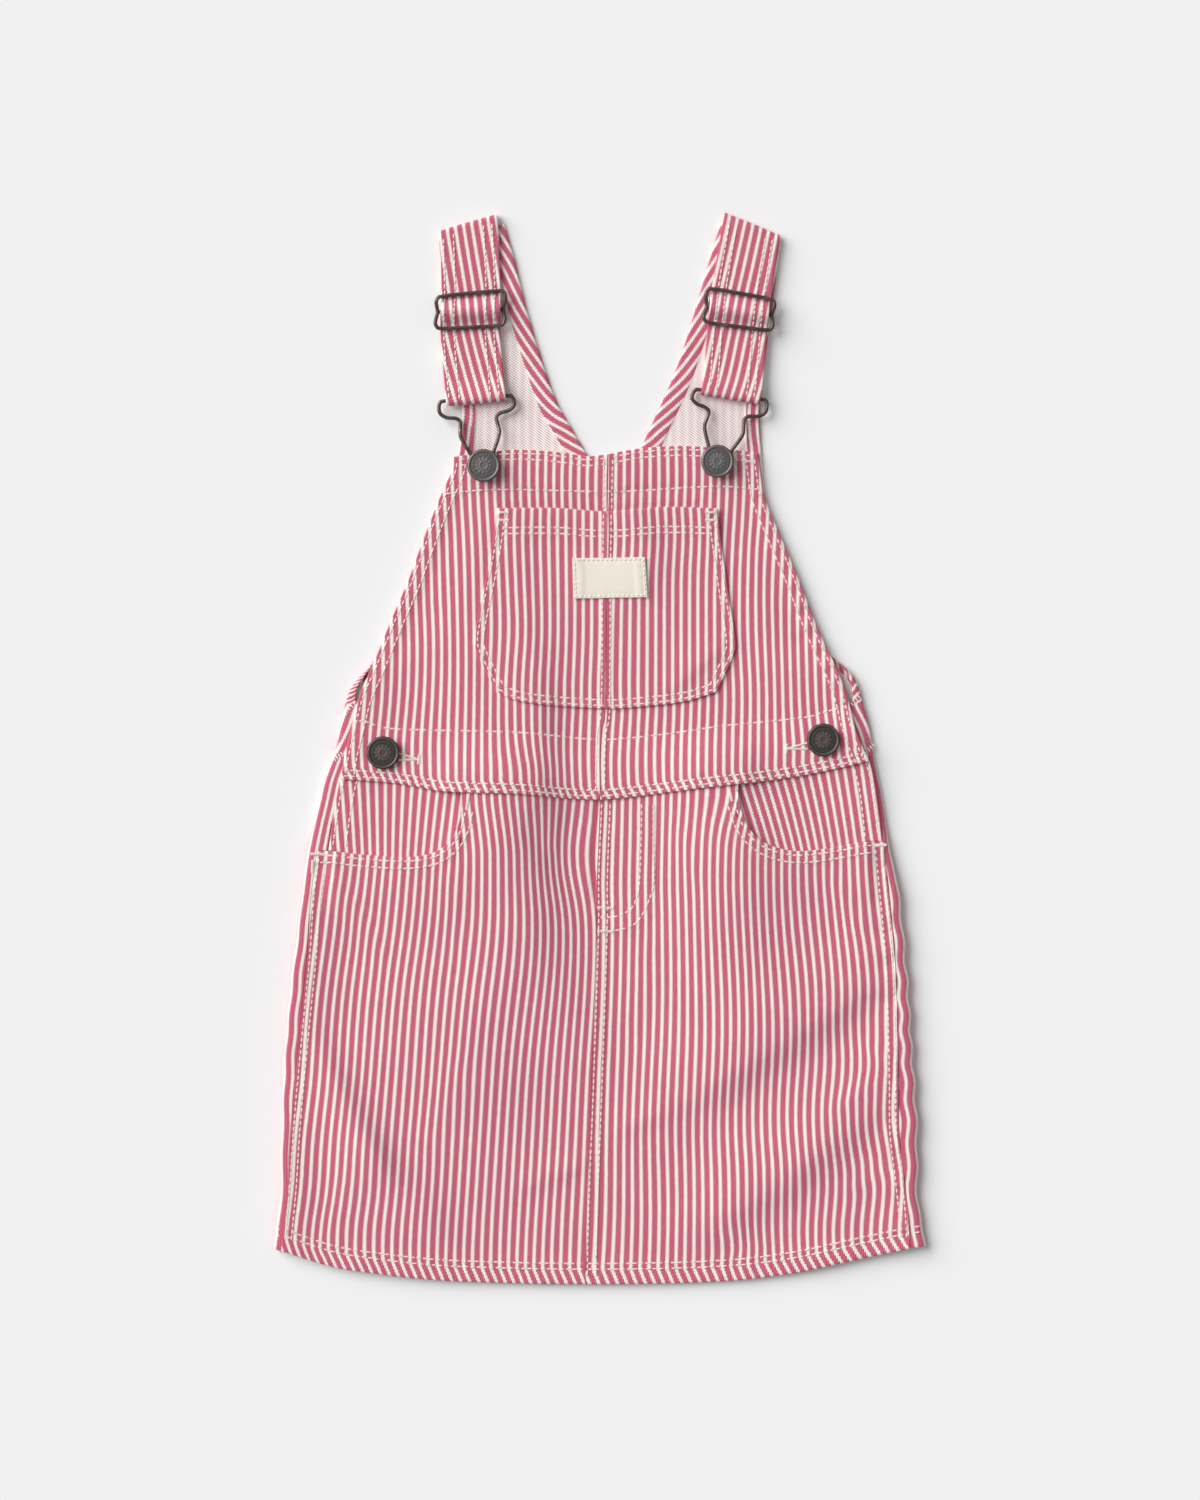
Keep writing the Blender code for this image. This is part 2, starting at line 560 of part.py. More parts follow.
def make_skirt_back(side):
    """Half of the back skirt: it wraps round the side and meets the front at the side seam."""
    left = side == "left"
    sign = -1 if left else 1
    seam = SEAM_LEFT if left else SEAM_RIGHT
    opening = FACING_LEFT_EDGE if left else FACING_RIGHT_EDGE
    head, foot = WAIST_BACK - GAP, height_on(HEM, sign * 153.2)
    beside_front = along(seam, FRONT_ROWS[1:])[:, 1]
    corner = seam[0][1]
    lapped = [*np.linspace(head, VENT_FOOT, 5), VENT_FOOT - 1.0]
    levels = np.concatenate([lapped, [corner + 0.9, corner + 0.3], beside_front])
    levels[-1] = foot
    rows = []
    for y in levels:
        roll = side_value(side, y)
        radius = float(side_value("radius", y))
        middle = across_at(CENTRE_SEAM, y) + sign * GAP / 2
        if y >= VENT_FOOT:
            edge = across_at(opening, y) - sign * 5.0
        elif y > corner + 0.5:
            edge = across_at(opening, y) + sign * GAP
        else:
            edge = across_at(seam, y) + sign * GAP / 2
        flap = max(0.2, abs(roll - edge) - radius)
        rows.append(((middle, y), (roll, y), radius, 180.0, flap))
    span = foot - head

    def level(x, row_y):
        """The rows bend down to follow the hem, which lies just inside the front's."""
        share = (row_y - head) / span
        return row_y + share**3 * (height_on(HEM, x) + 0.6 * (np.abs(x) < 140) - foot)

    rolled_sheet("skirt_back_" + side, rows, level)


def make_back_bodice(side):
    """Half of the back bodice, from the waist up to the shoulder end of its strap."""
    table = BACK_LEFT_ROWS if side == "left" else BACK_RIGHT_ROWS
    rows = []
    for row in map(BackRow._make, table):
        radius = 1.6 if row.sweep >= 180.0 else 1.8
        rows.append(((row.inner_x, row.inner_y), (row.outer_x, row.outer_y), radius, row.sweep, row.lip))
    rolled_sheet("back_bodice_" + side, rows, None, turns=6)


def make_bib(side):
    left = side == "left"
    sign = -1 if left else 1
    outer = BIB_LEFT if left else BIB_RIGHT
    centre = [(x + sign * GAP / 2, y) for x, y in CENTRE_SEAM if y > -25.0]
    middle = centre[0][0]
    low, high = (0.0, split_at(BIB_TOP, middle)) if left else (split_at(BIB_TOP, middle), 1.0)
    top = part_of(BIB_TOP, low, high)
    low, high = (0.0, split_at(WAIST, 0.0)) if left else (split_at(WAIST, 0.0), 1.0)
    foot = part_of(WAIST, low, high)
    if not left:
        top, foot = top[::-1], foot[::-1]
    top[-1], foot[-1] = centre[0], centre[-1]
    across = np.concatenate([[0.0, 0.055, 0.085], np.linspace(0.2, 1.0, 8)])
    down = np.concatenate([[0.0, 0.1, 0.115], np.linspace(0.2, 0.9, 9), [0.945, 0.96, 1.0]])
    plan = coons(outer, centre, top, foot, across, down)
    slab("bib_" + side, plan, bib_under, bib_wall)


def make_bib_pocket(side):
    left = side == "left"
    sign = -1 if left else 1
    outer = POCKET_LEFT if left else POCKET_RIGHT
    centre = [(across_at(CENTRE_SEAM, y) + sign * GAP / 2, y) for y in np.linspace(111.2, 18.6, 5)]
    low, high = (0.0, split_at(POCKET_TOP, 3.6)) if left else (split_at(POCKET_TOP, 3.6), 1.0)
    top = part_of(POCKET_TOP, low, high)
    low, high = (0.0, split_at(POCKET_FOOT, 2.6)) if left else (split_at(POCKET_FOOT, 2.6), 1.0)
    foot = part_of(POCKET_FOOT, low, high)
    if not left:
        top, foot = top[::-1], foot[::-1]
    top[-1], foot[-1] = centre[0], centre[-1]
    down = np.concatenate([[0, 0.13, 0.16], np.linspace(0.3, 1, 7)])
    plan = coons(outer, centre, top, foot, np.linspace(0, 1, 8), down)
    slab("bib_pocket_" + side, plan, pocket_under, pocket_wall)


def make_label():
    top_left, top_right, foot_right, foot_left = LABEL_CORNERS
    left, right = (top_left, foot_left), (top_right, foot_right)
    top, foot = (top_left, top_right), (foot_left, foot_right)
    plan = coons(left, right, top, foot, np.linspace(0, 1, 5), np.linspace(0, 1, 4))

    def under(x, y):
        return pocket_under(x, y) + pocket_wall(x, y) + GAP

    slab("pocket_label", plan, under, lambda x, y: np.full_like(x, LABEL_WALL), "label")


class StrapFrame:
    """Carries a strap's own frame, along from the shoulder fold and across, into plan."""

    def __init__(self, side):
        self.edges = STRAP_EDGES[side]
        self.levels = SLIDE_LEVELS[side]
        self.width = 28.0

    def edge_point(self, which, run):
        """Point on one edge at a distance along the strap; past the ends it goes straight on."""
        edge = self.edges[which]
        stations = (0.0, SLIDE_AT, STRAP_LENGTH)
        inside = min(max(run, 0.0), STRAP_LENGTH)
        y = float(np.interp(inside, stations, (edge[0][1], self.levels[which], edge[-1][1])))
        x = float(across_at(edge, y))
        return np.array([x, y + inside - run])

    def plan(self, run, across):
        """Plan point at a distance from the shoulder fold and across from the strap's middle."""
        a, b = self.edge_point(0, run), self.edge_point(1, run)
        middle, half = (a + b) / 2, (b - a) / 2
        return middle + half / np.linalg.norm(half) * across


def strap_route():
    """Middle line of the strap's wall, (along, height): round the shoulder fold, through the slide,
    round the buckle's bar and back up to the middle bar of the slide."""
    under = WALL / 2
    fold = 1.35
    wrap = WIRE / 2 + GAP + WALL / 2
    single, double = under + 2 * fold, 3.7
    bar = LAYER + WALL / 2 + wrap
    crown = bar + wrap + LAYER
    rise = SLIDE_HALF - 1.0
    route = [(3.4, under), (2.2, under)]
    for turn in np.linspace(0, math.pi, 7):
        route.append((fold - fold * math.sin(turn) + 0.05, under + fold - fold * math.cos(turn)))
    route += [(12.0, single), (24.0, single), (SLIDE_AT - SLIDE_HALF, single)]
    for off in np.linspace(-rise, rise, 13):
        level = single if off < 0 else double
        route.append((SLIDE_AT + off, level + (crown - level) * 0.5 * (1 + math.cos(math.pi * off / rise))))
    route += [(SLIDE_AT + SLIDE_HALF + 1.0, double), (SLIDE_AT + 22.0, double)]
    route += [(HOOK_AT - 10.0, double + 0.3)]
    route += [(HOOK_AT - 4.0, bar + wrap - 0.3)]
    for turn in np.linspace(0, math.pi, 9):
        route.append((HOOK_AT + wrap * math.sin(turn), bar + wrap * math.cos(turn)))
    route += [(HOOK_AT - 12.0, bar - wrap), (SLIDE_AT + 12.0, bar - wrap), (SLIDE_AT + 1.5, bar - wrap)]
    for turn in np.linspace(0, math.pi, 9):
        route.append((SLIDE_AT - wrap * math.sin(turn), bar - wrap * math.cos(turn)))
    route += [(SLIDE_AT + 1.2, bar + wrap - 0.05)]
    return np.array(route), bar


def make_strap(side, frame):
    """One strap as a band of cloth that follows its route."""
    route, _ = strap_route()
    step = np.gradient(route, axis=0)
    step /= np.linalg.norm(step, axis=1)[:, None]
    normal = np.column_stack([-step[:, 1], step[:, 0]])
    outer, inner = route - normal * WALL / 2, route + normal * WALL / 2
    half = frame.width / 2
    grids = []
    for line in (outer, inner):
        grids.append(np.array([[[*frame.plan(run, across), height] for across in (-half, 0.0, half)]
                               for run, height in line]))
    wall("strap_" + side, grids[0], grids[1])


def wire(name, centres, closed):
    """A round wire through the given centres, as a bevelled curve kept upright along its length."""
    curve = bpy.data.curves.new(name, "CURVE")
    curve.dimensions = "3D"
    curve.twist_mode = "Z_UP"
    curve.bevel_depth = WIRE / 2 * MM
    curve.bevel_resolution = 2
    curve.use_fill_caps = True
    spline = curve.splines.new("POLY")
    spline.points.add(len(centres) - 1)
    for point, centre in zip(spline.points, centres):
        point.co = (*(np.asarray(centre) * MM), 1.0)
    spline.use_cyclic_u = closed
    curve.materials.append(material("wire"))
    thing = bpy.data.objects.new(name, curve)
    bpy.context.scene.collection.objects.link(thing)
    return thing


def make_slide(side, frame):
    """The wire slide: a rounded frame over the strap, pinched at its middle bar, and that bar."""
    _, bar = strap_route()
    top_level, foot_level = 5.3, 5.8
    corner = 3.0
    points = []
    for end, level in ((-1, top_level), (1, foot_level)):
        for across in (-10.0, 0.0, 10.0) if end < 0 else (10.0, 0.0, -10.0):
            points.append((end * SLIDE_HALF, across, level))
        way = 1 if end < 0 else -1
        for turn in (25, 55, 90):
            angle = math.radians(turn)
            run = end * (SLIDE_HALF - corner + corner * math.cos(angle))
            points.append((run, way * (SLIDE_WIDE - corner + corner * math.sin(angle)), level))
        points.append((0.0, way * (SLIDE_WIDE - 0.6), bar))
        other = foot_level if end < 0 else top_level
        for turn in (90, 55, 25):
            angle = math.radians(turn)
            run = -end * (SLIDE_HALF - corner + corner * math.cos(angle))
            points.append((run, way * (SLIDE_WIDE - corner + corner * math.sin(angle)), other))
    line = [[*frame.plan(SLIDE_AT + run, across), level] for run, across, level in points]
    wire("slide_" + side, line, True)
    reach = SLIDE_WIDE - 0.6 - WIRE / 2 - GAP
    bar_line = [[*frame.plan(SLIDE_AT, across), bar] for across in (-reach, 0.0, reach)]
    wire("slide_bar_" + side, bar_line, False)


def make_buckle(side, frame):
    """The wire buckle: a bar in the strap's fold and a keyhole loop that hooks round the bib button."""
    _, bar = strap_route()
    button = np.array(BIB_BUTTONS[side])
    bar_middle = frame.plan(HOOK_AT, 0.0)
    bar_right = frame.plan(HOOK_AT, 1.0) - bar_middle
    down = button - bar_middle
    length = np.linalg.norm(down)
    down /= length
    right = np.array([-down[1], down[0]])
    scale = (length + 3.9) / HOOK_WIRE[-1][1]
    button_level = float(bib_top(*np.array([[button[0]], [button[1]]]))[0]) + GAP + WIRE / 2 + 0.3
    half = dense(HOOK_WIRE, each=2)
    points = [(0.0, 0.0), (8.0, 0.0), (14.0, -0.2)] + [tuple(p) for p in half]
    mirrored = [(-across, run) for across, run in points[-2:0:-1]]
    line = []
    for across, run in points + mirrored:
        turned_share = smooth_step(run / 9.0)
        sideways = bar_right + (right - bar_right) * turned_share
        spot = bar_middle + sideways * across + down * run * scale
        line.append([*spot, bar + (button_level - bar) * smooth_step((run - 10.0) / 14.0)])
    wire("buckle_" + side, line, True)
    return button_level


def turned(name, centre, profile, segments=20, kind="button"):
    """A round piece: a profile of (radius, height), bottom to top, spun round its own upright axis."""
    shape = bmesh.new()
    axis = np.array([*centre, 0.0]) * MM
    points = [shape.verts.new(axis + np.array([radius, 0.0, height]) * MM) for radius, height in profile]
    edges = [shape.edges.new(pair) for pair in zip(points[:-1], points[1:])]
    bmesh.ops.spin(shape, geom=points + edges, cent=axis, axis=(0.0, 0.0, 1.0), angle=2 * math.pi,
                   steps=segments, use_merge=True)
    bmesh.ops.remove_doubles(shape, verts=shape.verts, dist=1e-6)
    bmesh.ops.recalc_face_normals(shape, faces=shape.faces)
    mesh = bpy.data.meshes.new(name)
    shape.to_mesh(mesh)
    shape.free()
    mesh.shade_smooth()
    mesh.set_sharp_from_angle(angle=math.radians(35))
    mesh.materials.append(material(kind))
    thing = bpy.data.objects.new(name, mesh)
    bpy.context.scene.collection.objects.link(thing)
    return thing


def make_button(name, centre, foot, head_under):
    """A tack button: a shank, and a dished head with a raised rim."""
    top = head_under + BUTTON_THICK
    turned(name, centre, (
        (0.0, foot), (BUTTON_SHANK, foot), (BUTTON_SHANK, head_under), (BUTTON_HEAD - 0.7, head_under),
        (BUTTON_HEAD, head_under + 0.7), (BUTTON_HEAD, head_under + 1.5), (BUTTON_HEAD - 0.7, top - 0.3),
        (BUTTON_HEAD - 1.6, top - 0.4), (BUTTON_HEAD - 2.2, top - 0.7), (2.4, top - 0.35), (0.0, top - 0.2),
    ))


def highest_near(surface, centre, radius):
    """Highest point of a surface under a round piece."""
    turn = np.linspace(0, 2 * math.pi, 16, endpoint=False)
    x = np.concatenate([[centre[0]], centre[0] + radius * np.cos(turn)])
    y = np.concatenate([[centre[1]], centre[1] + radius * np.sin(turn)])
    return float(surface(x, y).max())


def build():
    clear_scene()
    for side in ("left", "right"):
        make_skirt_back(side)
        make_back_bodice(side)
        make_pocket_facing(side)
        make_skirt_front(side)
        make_bib(side)
        make_bib_pocket(side)
        frame = StrapFrame(side)
        make_strap(side, frame)
        make_slide(side, frame)
        wire_level = make_buckle(side, frame)
        foot = highest_near(bib_top, BIB_BUTTONS[side], BUTTON_SHANK) + GAP
        make_button("bib_button_" + side, BIB_BUTTONS[side], foot, wire_level + WIRE / 2 + GAP)
        foot = highest_near(bib_top, SIDE_BUTTONS[side], BUTTON_SHANK) + GAP
        seat = highest_near(bib_top, SIDE_BUTTONS[side], BUTTON_HEAD) + GAP
        make_button("side_button_" + side, SIDE_BUTTONS[side], foot, max(seat, foot + 0.4))
    make_label()


build()
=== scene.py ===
import math

import bpy
import numpy as np
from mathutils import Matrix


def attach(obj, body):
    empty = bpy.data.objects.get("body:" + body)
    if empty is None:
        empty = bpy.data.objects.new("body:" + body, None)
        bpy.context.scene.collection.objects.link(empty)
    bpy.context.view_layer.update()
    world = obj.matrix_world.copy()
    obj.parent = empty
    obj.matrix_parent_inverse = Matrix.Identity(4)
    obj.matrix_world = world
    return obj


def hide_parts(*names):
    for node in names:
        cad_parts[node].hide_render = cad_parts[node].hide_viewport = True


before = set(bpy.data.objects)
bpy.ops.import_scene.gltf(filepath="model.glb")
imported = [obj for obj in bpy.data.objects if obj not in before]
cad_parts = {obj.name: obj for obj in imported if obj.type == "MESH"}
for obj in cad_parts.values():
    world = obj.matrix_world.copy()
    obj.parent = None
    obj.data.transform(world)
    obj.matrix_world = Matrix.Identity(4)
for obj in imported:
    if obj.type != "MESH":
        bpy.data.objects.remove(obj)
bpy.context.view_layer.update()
print("frame loaded:", len(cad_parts), "nodes")

# Every length is in millimetres, as on the pattern; a mesh is made in metres.
cloth = {
    "wall": 1.2,
    "gap": 0.3,
    "layer": 1.5,  # a wall and the gap under it
    "hemExtra": 0.5,  # more wall where an edge is turned in
    "rest": 1.9,  # underside of the front where it lies on the back
    "lap": 6.0,  # the skirt goes up this far behind the bib
    "waistSpare": 0.15,
    "ventUnder": 3.5,  # underside of the front's edge at the side openings
    "ventFoot": -34.0,
    "waistBack": -4.0,
    "pitch": 3.95,  # from stripe to stripe
    "rounding": 1.2,  # a fold starts this far in from the cut edge
}
rim = np.array([0.0, 0.08, 0.25, 0.5, 0.85])  # close lines that round a cut edge
signs = {"left": -1, "right": 1}


# ---- curves and patches


def climb(value, start, width):
    # v is 0 at start and 1 at start + width, and level outside: 3v^2 - 2v^3
    v = np.clip((value - start) / width, 0.0, 1.0)
    return v * v * (3.0 - 2.0 * v)


def fall(value, start, width):
    # the same step from 1 down to 0
    return 1 - climb(value, start, width)


def bell(value, reach):
    # e to the power of -(value / reach)^2
    return np.exp(-((value / reach) ** 2))


def unit(vectors):
    return vectors / np.linalg.norm(vectors, axis=-1, keepdims=True)


def smoothCurve(points, steps=12):
    # Catmull-Rom: between two points the cubic whose slope at each is half the step between its neighbours
    points = np.asarray(points, float)
    wide = np.vstack([2 * points[0] - points[1], points, 2 * points[-1] - points[-2]])
    t = np.linspace(0.0, 1.0, steps, endpoint=False)[None, :, None]
    a, b, c, d = (wide[i:len(wide) - 3 + i, None] for i in range(4))
    square, cube = 2 * a - 5 * b + 4 * c - d, 3 * b - a - 3 * c + d
    runs = 0.5 * (2 * b + (c - a) * t + square * t**2 + cube * t**3)
    return np.vstack([runs.reshape(-1, points.shape[1]), points[-1:]])


def walked(line):
    # distance walked along a line of points
    return np.concatenate([[0.0], np.cumsum(np.linalg.norm(np.diff(line, axis=0), axis=1))])


def pointsAt(line, distances):
    reach = walked(line)
    return np.stack([np.interp(distances, reach, line[:, axis]) for axis in range(line.shape[1])], axis=-1)


def shareAlong(points, shares):
    line = smoothCurve(points)
    return pointsAt(line, np.asarray(shares, float) * walked(line)[-1])


def yOn(points, x):
    line = smoothCurve(points)
    return np.interp(x, line[:, 0], line[:, 1])


def xOn(points, y):
    line = smoothCurve(points)[::-1]
    return np.interp(y, line[:, 1], line[:, 0])


def nearLine(line, x, y):
    # distance from each (x, y) to a line of points, and how far along the line the nearest point is
    spot = np.stack([np.ravel(x), np.ravel(y)], axis=-1)
    start, step = line[:-1], np.diff(line, axis=0)
    long = np.maximum((step**2).sum(-1), 1e-9)
    reach = walked(line)
    best, run = np.empty(len(spot)), np.empty(len(spot))
    pairsAtOnce = 2000000
    for part in np.array_split(np.arange(len(spot)), max(1, len(spot) * len(step) // pairsAtOnce + 1)):
        away = spot[part, None] - start
        share = np.clip((away * step).sum(-1) / long, 0.0, 1.0)
        far = np.linalg.norm(away - share[..., None] * step, axis=-1)
        pick = far.argmin(-1)
        rows = np.arange(len(part))
        best[part] = far[rows, pick]
        run[part] = reach[pick] + share[rows, pick] * np.sqrt(long[pick])
    return best.reshape(np.shape(x)), run.reshape(np.shape(x))


def coonsPatch(left, right, top, foot, across, down):
    # the sum of two ruled surfaces, side to side and top to foot, less the bilinear one through the corners
    u, v = across[None, :, None], down[:, None, None]
    sideA, sideB = shareAlong(left, down)[:, None], shareAlong(right, down)[:, None]
    edgeA, edgeB = shareAlong(top, across)[None], shareAlong(foot, across)[None]
    cornersA = (1 - u) * edgeA[:, :1] + u * edgeA[:, -1:]
    cornersB = (1 - u) * edgeB[:, :1] + u * edgeB[:, -1:]
    return (1 - u) * sideA + u * sideB + (1 - v) * (edgeA - cornersA) + v * (edgeB - cornersB)


def gridShares(length, step):
    # even steps, with close lines at both ends so that the cut edge can be rounded
    inner = np.linspace(rim[-1], length - rim[-1], max(3, round((length - 2 * rim[-1]) / step) + 1))
    return np.concatenate([rim[:-1], inner, length - rim[-2::-1]]) / length


def panelPlan(piece, left, right, top, foot):
    return coonsPatch(left, right, top, foot, gridShares(*piece["across"]), gridShares(*piece["down"]))


def rowsInside(points, insets, middle, start=0.0, end=1.0, count=90):
    # the curve moved along its own normals towards the panel's middle, once for each inset
    line = shareAlong(points, np.linspace(0, 1, count))
    slope = np.gradient(line, axis=0)
    normal = unit(np.column_stack([-slope[:, 1], slope[:, 0]]))
    normal = normal * np.sign(((np.asarray(middle) - line) * normal).sum())
    kept = slice(int(start * (count - 1)), int(end * (count - 1)) + 1)
    return [(line + normal * inset)[kept] for inset in insets]


def edgeDistance(plan, seams):
    # along each column and each row, the walk from either end; the least of the four, where a walk from a sewn
    # side counts more, so that its rim stays nearly square; seams is first row, last row, first and last column
    found = None
    for axis in (0, 1):
        step = np.linalg.norm(np.diff(plan, axis=axis), axis=-1)
        zero = np.zeros_like(step.take([0], axis=axis))
        walk = np.concatenate([zero, np.cumsum(step, axis=axis)], axis=axis)
        first, last = seams[2 * axis:2 * axis + 2]
        near = np.minimum(walk * first, (walk.take([-1], axis=axis) - walk) * last)
        found = near if found is None else np.minimum(found, near)
    return found


def roundedRim(away, half):
    # half the thickness beside a rounded edge: a quarter circle from 0 at the edge, then level
    return np.sqrt(np.maximum(half**2 - (half - np.minimum(away, half)) ** 2, 0.0))


def bumps(table, x, y):
    # a sum of bells: each row is a centre, a reach in x and in y, and a height
    return sum(height * bell(x - x0, wide) * bell(y - y0, high) for x0, y0, wide, high, height in table)


# ---- meshes


def quads(index):
    corners = [index[..., :-1, :-1], index[..., :-1, 1:], index[..., 1:, 1:], index[..., 1:, :-1]]
    return np.stack(corners, axis=-1).reshape(-1, 4)


def newObject(name, points, faces, materials, caps=None, uv=None, finish=None):
    # points in millimetres, faces of four corners and caps of three; all are turned round together if the
    # closed shape's volume, a sum of a . (b x c) over triangles, is negative
    caps = np.empty((0, 3), int) if caps is None else caps
    a, b, c = points[np.vstack([faces[:, :3], faces[:, [0, 2, 3]], caps])].transpose(1, 0, 2)
    if (a * np.cross(b, c)).sum() < 0:
        faces, caps = faces[:, ::-1], caps[:, ::-1]
        uv = None if uv is None else uv[:, ::-1]
    mesh = bpy.data.meshes.new(name)
    mesh.from_pydata(points * 0.001, [], faces.tolist() + caps.tolist())
    for one in materials:
        mesh.materials.append(one)
    if uv is not None:
        mesh.uv_layers.new(name="cloth").data.foreach_set("uv", np.ascontiguousarray(uv, np.float32).ravel())
    if len(materials) > 1:
        mesh.polygons.foreach_set("material_index", np.asarray(finish, np.int32))
    mesh.shade_smooth()
    mesh.update()
    piece = bpy.data.objects.new(name, mesh)
    bpy.context.scene.collection.objects.link(piece)
    return piece


def clothMesh(name, outside, inside, stripes, finishes, turned=()):
    # two grids of points that share their rim; stripes is a grid of (stripe count, run down the cloth);
    # turned holds (columns, stripes) where the inside shows an edge that is folded over to it
    rows, columns = outside.shape[:2]
    edge = np.zeros((rows, columns), bool)
    edge[[0, -1]] = True
    edge[:, [0, -1]] = True
    outer = np.arange(rows * columns).reshape(rows, columns)
    inner = outer.copy()
    inner[~edge] = rows * columns + np.arange((~edge).sum())
    points = np.concatenate([outside.reshape(-1, 3), inside[~edge]])
    spread = quads(outer)
    faces = np.concatenate([spread, quads(inner)[:, ::-1]])
    cells = (rows - 1, columns - 1)
    outsideUv = stripes.reshape(-1, 2)[spread]
    insideUv, insideFinish = outsideUv.reshape(*cells, 4, 2).copy(), np.ones(cells, int)
    for span, edgeStripes in turned:
        insideUv[:, span] = edgeStripes.reshape(-1, 2)[spread].reshape(*cells, 4, 2)[:, span]
        insideFinish[:, span] = 0
    uv = np.concatenate([outsideUv, insideUv.reshape(-1, 4, 2)[:, ::-1]])
    finish = np.concatenate([np.zeros(len(spread), int), insideFinish.ravel()])
    return newObject(name, points, faces, finishes, uv=uv, finish=finish)


def ringMesh(name, grid, material, tips=None):
    # rings of points joined one to the next; each end closes on its tip, or the last ring joins the first
    count, sides = grid.shape[:2]
    index = np.arange(count * sides).reshape(count, sides)
    index = np.column_stack([index, index[:, :1]])
    points = grid.reshape(-1, 3)
    if tips is None:
        return newObject(name, points, quads(np.vstack([index, index[:1]])), [material])
    first, last, tip = index[0], index[-1], np.full(sides, count * sides)
    caps = [np.column_stack([first[1:], first[:-1], tip]), np.column_stack([last[:-1], last[1:], tip + 1])]
    return newObject(name, np.vstack([points, tips]), quads(index), [material], np.vstack(caps))


def acrossPath(slope):
    # level across the path, and upright to both
    slope = unit(slope)
    across = unit(np.cross(slope, [0.0, 0.0, 1.0]))
    return across, np.cross(across, slope)


def tube(name, centres, radius, closed, sides=14):
    # a circle carried along the centres: cos of the turn across the path and sin upright
    if closed:
        slope = np.roll(centres, -1, axis=0) - np.roll(centres, 1, axis=0)
        size = np.full(len(centres), radius)
    else:
        slope = np.gradient(centres, axis=0)
        slack = walked(centres)
        size = np.maximum(roundedRim(np.minimum(slack, slack[-1] - slack), radius), 0.02 * radius)
    across, upright = acrossPath(slope)
    turn = np.linspace(0, 2 * math.pi, sides, endpoint=False)[None, :, None]
    ring = np.cos(turn) * across[:, None] + np.sin(turn) * upright[:, None]
    grid = centres[:, None] + size[:, None, None] * ring
    return ringMesh(name, grid, wireFinish, None if closed else centres[[0, -1]])


def place(piece, slot, *nodes):
    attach(piece, "root")
    if nodes:
        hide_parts(*nodes)


# ---- materials


class Socket:
    # a value in a material; + - * and the rest add the Math node that does them

    def __init__(self, shade, link):
        self.shade = shade
        self.link = link

    def math(self, operation, first, second=0.0):
        return self.shade.node("ShaderNodeMath", {"operation": operation}, {0: first, 1: second})

    def __add__(self, other):
        return self.math("ADD", self, other)

    def __sub__(self, other):
        return self.math("SUBTRACT", self, other)

    def __rsub__(self, other):
        return self.math("SUBTRACT", other, self)

    def __mul__(self, other):
        return self.math("MULTIPLY", self, other)

    __radd__ = __add__
    __rmul__ = __mul__

    def __abs__(self):
        return self.math("ABSOLUTE", self)

    def saw(self):
        # 1 at each whole number and 0 halfway between
        return abs(self.math("FRACT", self) - 0.5) * 2.0

    def ramp(self, low, high, start=0.0, end=1.0):
        # a smooth step from start at low to end at high
        values = {"Value": self, "From Min": low, "From Max": high, "To Min": start, "To Max": end}
        return self.shade.node("ShaderNodeMapRange", {"interpolation_type": "SMOOTHSTEP"}, values)


class Shade:
    # one material's node tree

    def __init__(self, name):
        self.material = bpy.data.materials.new(name)
        self.material.use_nodes = True
        self.tree = self.material.node_tree
        self.tree.nodes.clear()

    def node(self, kind, settings, inputs, output=0):
        made = self.tree.nodes.new(kind)
        for key, value in settings.items():
            setattr(made, key, value)
        for key, value in inputs.items():
            if isinstance(value, Socket):
                self.tree.links.new(value.link, made.inputs[key])
            else:
                made.inputs[key].default_value = value
        return Socket(self, made.outputs[output])

    def mix(self, factor, first, second, blend="MIX"):
        settings = {"data_type": "RGBA", "blend_type": blend}
        return self.node("ShaderNodeMix", settings, {0: factor, 6: first, 7: second}, 2)

    def onObject(self):
        return self.node("ShaderNodeTexCoord", {}, {}, 3)

    def onCloth(self):
        # the cloth's own map, and its two parts: stripe count and run
        where = self.node("ShaderNodeUVMap", {"uv_map": "cloth"}, {})
        return [where] + [self.node("ShaderNodeSeparateXYZ", {}, {"Vector": where}, part) for part in (0, 1)]

    def grain(self, where, scale, detail=2.0, roughness=0.5):
        # noise; a scale for each axis stretches it
        if isinstance(scale, tuple):
            where = self.node("ShaderNodeVectorMath", {"operation": "MULTIPLY"}, {0: where, 1: scale})
            scale = 1.0
        values = {"Vector": where, "Scale": scale, "Detail": detail, "Roughness": roughness}
        return self.node("ShaderNodeTexNoise", {"noise_dimensions": "3D"}, values)

    def finish(self, colour, roughness, height, distance, constants):
        bump = self.node("ShaderNodeBump", {}, {"Height": height, "Distance": distance, "Strength": 1.0})
        inputs = {"Base Color": colour, "Roughness": roughness, "Normal": bump, **constants}
        surface = self.node("ShaderNodeBsdfPrincipled", {}, inputs)
        target = self.tree.nodes.new("ShaderNodeOutputMaterial")
        self.tree.links.new(surface.link, target.inputs["Surface"])
        return self.material


twill = {
    "pink": (0.69, 0.164, 0.238, 1.0),
    # deepPink and shadeWhite are the tones in the rib's grooves: painted shade, mixed with the yarns' own
    # uneven tone
    "deepPink": (0.43, 0.072, 0.136, 1.0),
    "white": (0.955, 0.90, 0.84, 1.0),
    "shadeWhite": (0.74, 0.64, 0.58, 1.0),
    "insideDash": (0.44, 0.085, 0.155, 1.0),
    "insideGround": (0.97, 0.925, 0.89, 1.0),
    "pinkShare": 0.63,
    "softEdge": 0.055,
    "wale": (0.84, 1.42),
    "insideWale": (1.7, 1.25),
    "serration": 0.15,
    "bump": 0.00012,
}


